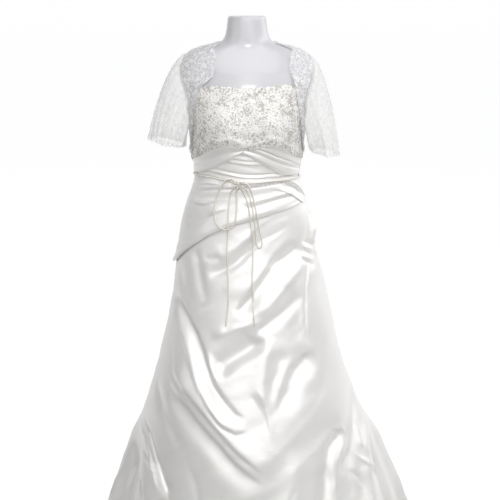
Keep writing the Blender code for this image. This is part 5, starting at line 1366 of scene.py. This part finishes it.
def cord(name, node, route, start=None, end=None, step=0.0035):
    """A cord along a route; each point is an angle, a height and how far the cord is off the cloth."""
    route = np.array(route, float)
    flat = np.stack([np.radians(route[:, 0]) * 0.17, route[:, 1], route[:, 2]], -1)
    fine = smooth_line(flat, 0.004)
    angle, height, up = np.degrees(fine[:, 0] / 0.17), fine[:, 1], fine[:, 2]
    spots, out = place(SKIRT, angle, height), outward(SKIRT, angle, height)
    off = np.array([lay(a, b) for a, b in zip(spots, out)])
    wide = np.array([off[max(0, i - 2):i + 3].max() for i in range(len(off))])
    soft = np.array([wide[max(0, i - 2):i + 3].mean() for i in range(len(off))])
    off = np.maximum(off, soft) + up
    line = (spots + out * off[:, None])[::2]
    if start:
        line = tie(line, *start)
    if end:
        line = tie(line[::-1], *end)[::-1]
    line = smooth_line(line, step)
    curve = bpy.data.curves.new(name, "CURVE")
    curve.dimensions = "3D"
    curve.bevel_depth = CORD_WIDE / 2
    curve.bevel_resolution = 3
    curve.use_fill_caps = True
    curve.resolution_u = 1
    spline = curve.splines.new("POLY")
    spline.points.add(len(line) - 1)
    for point, co in zip(spline.points, line):
        point.co = (*co, 1.0)
    if not end:
        spline.points[-1].radius = 0.55
        spline.points[-2].radius = 0.92
    spline.use_smooth = True
    made = bpy.data.objects.new(name, curve)
    bpy.context.collection.objects.link(made)
    curve.materials.append(CORD)
    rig.ride(made, "root")
    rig.replaces(made, node)
    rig.slot(made, "satin_cord")
    length = float(np.linalg.norm(np.diff(line, axis=0), axis=1).sum())
    return made, line, length


# Where each cord runs: angle, height, clearance under it.
WAIST_ROUTE = [(a, float(along(WAIST, a if a <= 180 else a - 360)) + 0.0015, 0.0018) for a in
               (-4.0, 6, 18, 32, 48, 66, 84, 100, 116, 132, 148, 164, 180, 196, 212, 228, 244, 260, 276, 294, 312, 328, 341, 341.8)]
LOOP_LEFT = (
    (-12.6, 1.0690, 0.0070), (-17.6, 1.0712, 0.0070), (-23.0, 1.0640, 0.0050), (-28.0, 1.0450, 0.0014),
    (-30.8, 1.0195, 0.0010), (-30.9, 0.9932, 0.0010), (-29.2, 0.9722, 0.0012), (-25.9, 0.9529, 0.0030),
    (-20.8, 0.9417, 0.0062), (-15.9, 0.9388, 0.0066), (-11.7, 0.9470, 0.0040), (-9.4, 0.9639, 0.0014),
    (-8.8, 0.9904, 0.0010), (-9.4, 1.0166, 0.0012), (-10.2, 1.0348, 0.0030), (-10.2, 1.0440, 0.0050))
LOOP_RIGHT = (
    (-4.6, 1.0650, 0.0080), (-0.6, 1.0612, 0.0078), (3.0, 1.0500, 0.0058), (5.9, 1.0320, 0.0018),
    (7.9, 1.0088, 0.0010), (9.4, 0.9745, 0.0010), (10.8, 0.9428, 0.0010), (12.6, 0.9111, 0.0010),
    (12.9, 0.8980, 0.0010), (10.7, 0.8880, 0.0010), (8.5, 0.8965, 0.0010), (7.9, 0.9105, 0.0010),
    (7.6, 0.9323, 0.0010), (6.7, 0.9641, 0.0010), (5.5, 1.0000, 0.0010), (3.4, 1.0240, 0.0014),
    (0.4, 1.0410, 0.0030), (-3.2, 1.0510, 0.0060))
END_LEFT = (
    (-11.8, 1.0500, 0.0050), (-15.4, 1.0380, 0.0014), (-16.6, 1.0187, 0.0008), (-16.4, 0.9898, 0.0008),
    (-15.9, 0.9476, 0.0008), (-15.8, 0.8975, 0.0008), (-15.7, 0.8326, 0.0010), (-15.6, 0.7679, 0.0010),
    (-16.2, 0.7240, 0.0010), (-16.9, 0.6826, 0.0008))
END_RIGHT = (
    (-5.8, 1.0460, 0.0050), (-2.4, 1.0330, 0.0014), (0.8, 1.0130, 0.0008), (2.6, 0.9900, 0.0008),
    (3.4, 0.9589, 0.0010), (4.2, 0.9325, 0.0010), (5.2, 0.8982, 0.0010), (4.6, 0.8543, 0.0010),
    (2.5, 0.7949, 0.0010), (2.1, 0.7358, 0.0010), (2.8, 0.6870, 0.0008))

# The knot: a core with two turns of cord round it.
core = []
for share in np.linspace(-0.97, 0.97, 13):
    wide = math.sqrt(1 - share * share) * 0.80
    a = np.linspace(0, 2 * math.pi, 24, endpoint=False)
    core.append(np.stack([KNOT_AT[0] + KNOT_SIZE[0] * wide * np.cos(a), KNOT_AT[1] + KNOT_SIZE[1] * wide * np.sin(a),
                          np.full(24, KNOT_AT[2] + KNOT_SIZE[2] * share * 0.80)], -1))
knot = mesh_object("knot_core", np.array(core).reshape(-1, 3), quads(13, 24, True), CORD)
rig.slot(knot, "satin_cord")
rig.replaces(knot, "bow_knot")
knot_pieces = [knot]
for i, (shift, lean) in enumerate(((-0.0030, 0.25), (0.0016, 0.12))):
    a = np.linspace(0, 2 * math.pi, 28, endpoint=False)
    loop = np.stack([KNOT_AT[0] + shift + lean * 0.006 * np.sin(a), KNOT_AT[1] - 0.0035 * np.cos(a), KNOT_AT[2] + 0.0048 * np.sin(a)], -1)
    knot_pieces.append(tube(f"knot_turn_{i + 1}", loop, 0.0018, CORD, "satin_cord", 10, True))

waist, waist_line, waist_long = cord("waist_cord_satin", "waist_cord", WAIST_ROUTE, (-4, 0.35), (184, 0.35), 0.006)
cords = {}
for name, node, route, start, end in (
    ("loop_left", "bow_loop_left", LOOP_LEFT, (155, -0.45), (252, -0.25)),
    ("loop_right", "bow_loop_right", LOOP_RIGHT, (36, -0.75), (322, -0.35)),
    ("end_left", "cord_end_left", END_LEFT, (214, -0.05), None),
    ("end_right", "cord_end_right", END_RIGHT, (290, -0.05), None),
):
    made, line, length = cord(name, node, route, start, end)
    cords[name] = (made, line, length)
    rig.cord(made, exit=tuple(line[0]), length=length, diameter=CORD_WIDE, far_end="object" if end else "bare", stiffness="limp",
            lay="hanging")
    print("cord", name, round(length, 4))
print("cord waist", round(waist_long, 4))

# Camera, floor and light


camera_data = bpy.data.cameras.new("camera")
camera_data.lens = 91.7
camera_data.sensor_width = 36.0
camera = bpy.data.objects.new("camera", camera_data)
camera.location = (0.008, -3.4, 1.60)
camera.rotation_euler = (math.radians(90 - 12.28), 0, 0)
bpy.context.collection.objects.link(camera)
bpy.context.scene.camera = camera

floor_material, floor_nodes, floor_links, floor_shader = new_material("look_floor")
floor_shader.inputs["Base Color"].default_value = (0.42, 0.42, 0.42, 1)
floor_shader.inputs["Roughness"].default_value = 0.9
floor_where = add(floor_nodes, "ShaderNodeTexCoord")
floor_split = add(floor_nodes, "ShaderNodeSeparateXYZ")
floor_links.new(floor_where.outputs["Object"], floor_split.inputs["Vector"])
floor_glow = add(floor_nodes, "ShaderNodeMapRange")
floor_glow.inputs["From Min"].default_value = 0.10
floor_glow.inputs["From Max"].default_value = 0.30
floor_glow.inputs["To Min"].default_value = 0.0
floor_glow.inputs["To Max"].default_value = 0.85
floor_links.new(floor_split.outputs["Y"], floor_glow.inputs["Value"])
floor_links.new(floor_glow.outputs["Result"], floor_shader.inputs["Emission Strength"])
floor_shader.inputs["Emission Color"].default_value = (1, 1, 1, 1)
size = 60.0
floor_mesh = bpy.data.meshes.new("floor")
floor_mesh.from_pydata([(-size, -8, 0), (size, -8, 0), (size, 80, 0), (-size, 80, 0)], [], [(0, 1, 2, 3)])
floor_mesh.materials.append(floor_material)
floor = bpy.data.objects.new("floor", floor_mesh)
bpy.context.collection.objects.link(floor)
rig.stage(floor)

world = bpy.data.worlds.new("studio")
world.use_nodes = True
sky_nodes, sky_links = world.node_tree.nodes, world.node_tree.links
sky = sky_nodes["Background"]
sky.inputs["Color"].default_value = (0.97, 0.98, 1.0, 1)
sky_where = add(sky_nodes, "ShaderNodeTexCoord")
sky_split = add(sky_nodes, "ShaderNodeSeparateXYZ")
sky_links.new(sky_where.outputs["Generated"], sky_split.inputs["Vector"])
# Bright behind the dress and dim in front of it, as in a studio with a white backdrop.
sky_range = add(sky_nodes, "ShaderNodeMapRange", interpolation_type="SMOOTHSTEP")
sky_range.inputs["From Min"].default_value = 0.25
sky_range.inputs["From Max"].default_value = 0.95
sky_range.inputs["To Min"].default_value = 0.10
sky_range.inputs["To Max"].default_value = 1.08
sky_links.new(sky_split.outputs["Y"], sky_range.inputs["Value"])
sky_links.new(sky_range.outputs["Result"], sky.inputs["Strength"])
bpy.context.scene.world = world
bpy.context.scene.view_settings.view_transform = "Standard"


def lamp(name, location, target, size, power, colour=(1, 1, 1)):
    data = bpy.data.lights.new(name, "AREA")
    data.shape = "RECTANGLE"
    data.size, data.size_y = size
    data.energy = power
    data.color = colour
    made = bpy.data.objects.new(name, data)
    made.location = location
    way = Vector(target) - Vector(location)
    made.rotation_euler = way.to_track_quat("-Z", "Y").to_euler()
    bpy.context.collection.objects.link(made)


lamp("wall", (0.2, -3.6, 2.3), (0, 0, 1.0), (5.0, 2.0), 67)
lamp("right", (2.7, -1.2, 2.9), (0, 0, 0.55), (2.2, 2.0), 37)
lamp("left", (-3.1, -1.5, 2.4), (0, 0, 1.1), (2.0, 1.6), 12, (1, 0.99, 0.975))
lamp("top", (0.0, -1.6, 3.6), (0, 0, 1.0), (2.2, 1.4), 27)
lamp("rim_right", (2.7, 0.9, 2.2), (0.1, 0, 0.6), (1.6, 1.8), 24)
lamp("spot", (0.06, -2.0, 2.42), (0, 0, 1.40), (0.40, 0.34), 8)

seen_box = [list(corner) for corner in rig.bounds()]
with open("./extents.json", "w") as out_file:
    json.dump({"cad": cad_box, "visual": seen_box}, out_file)
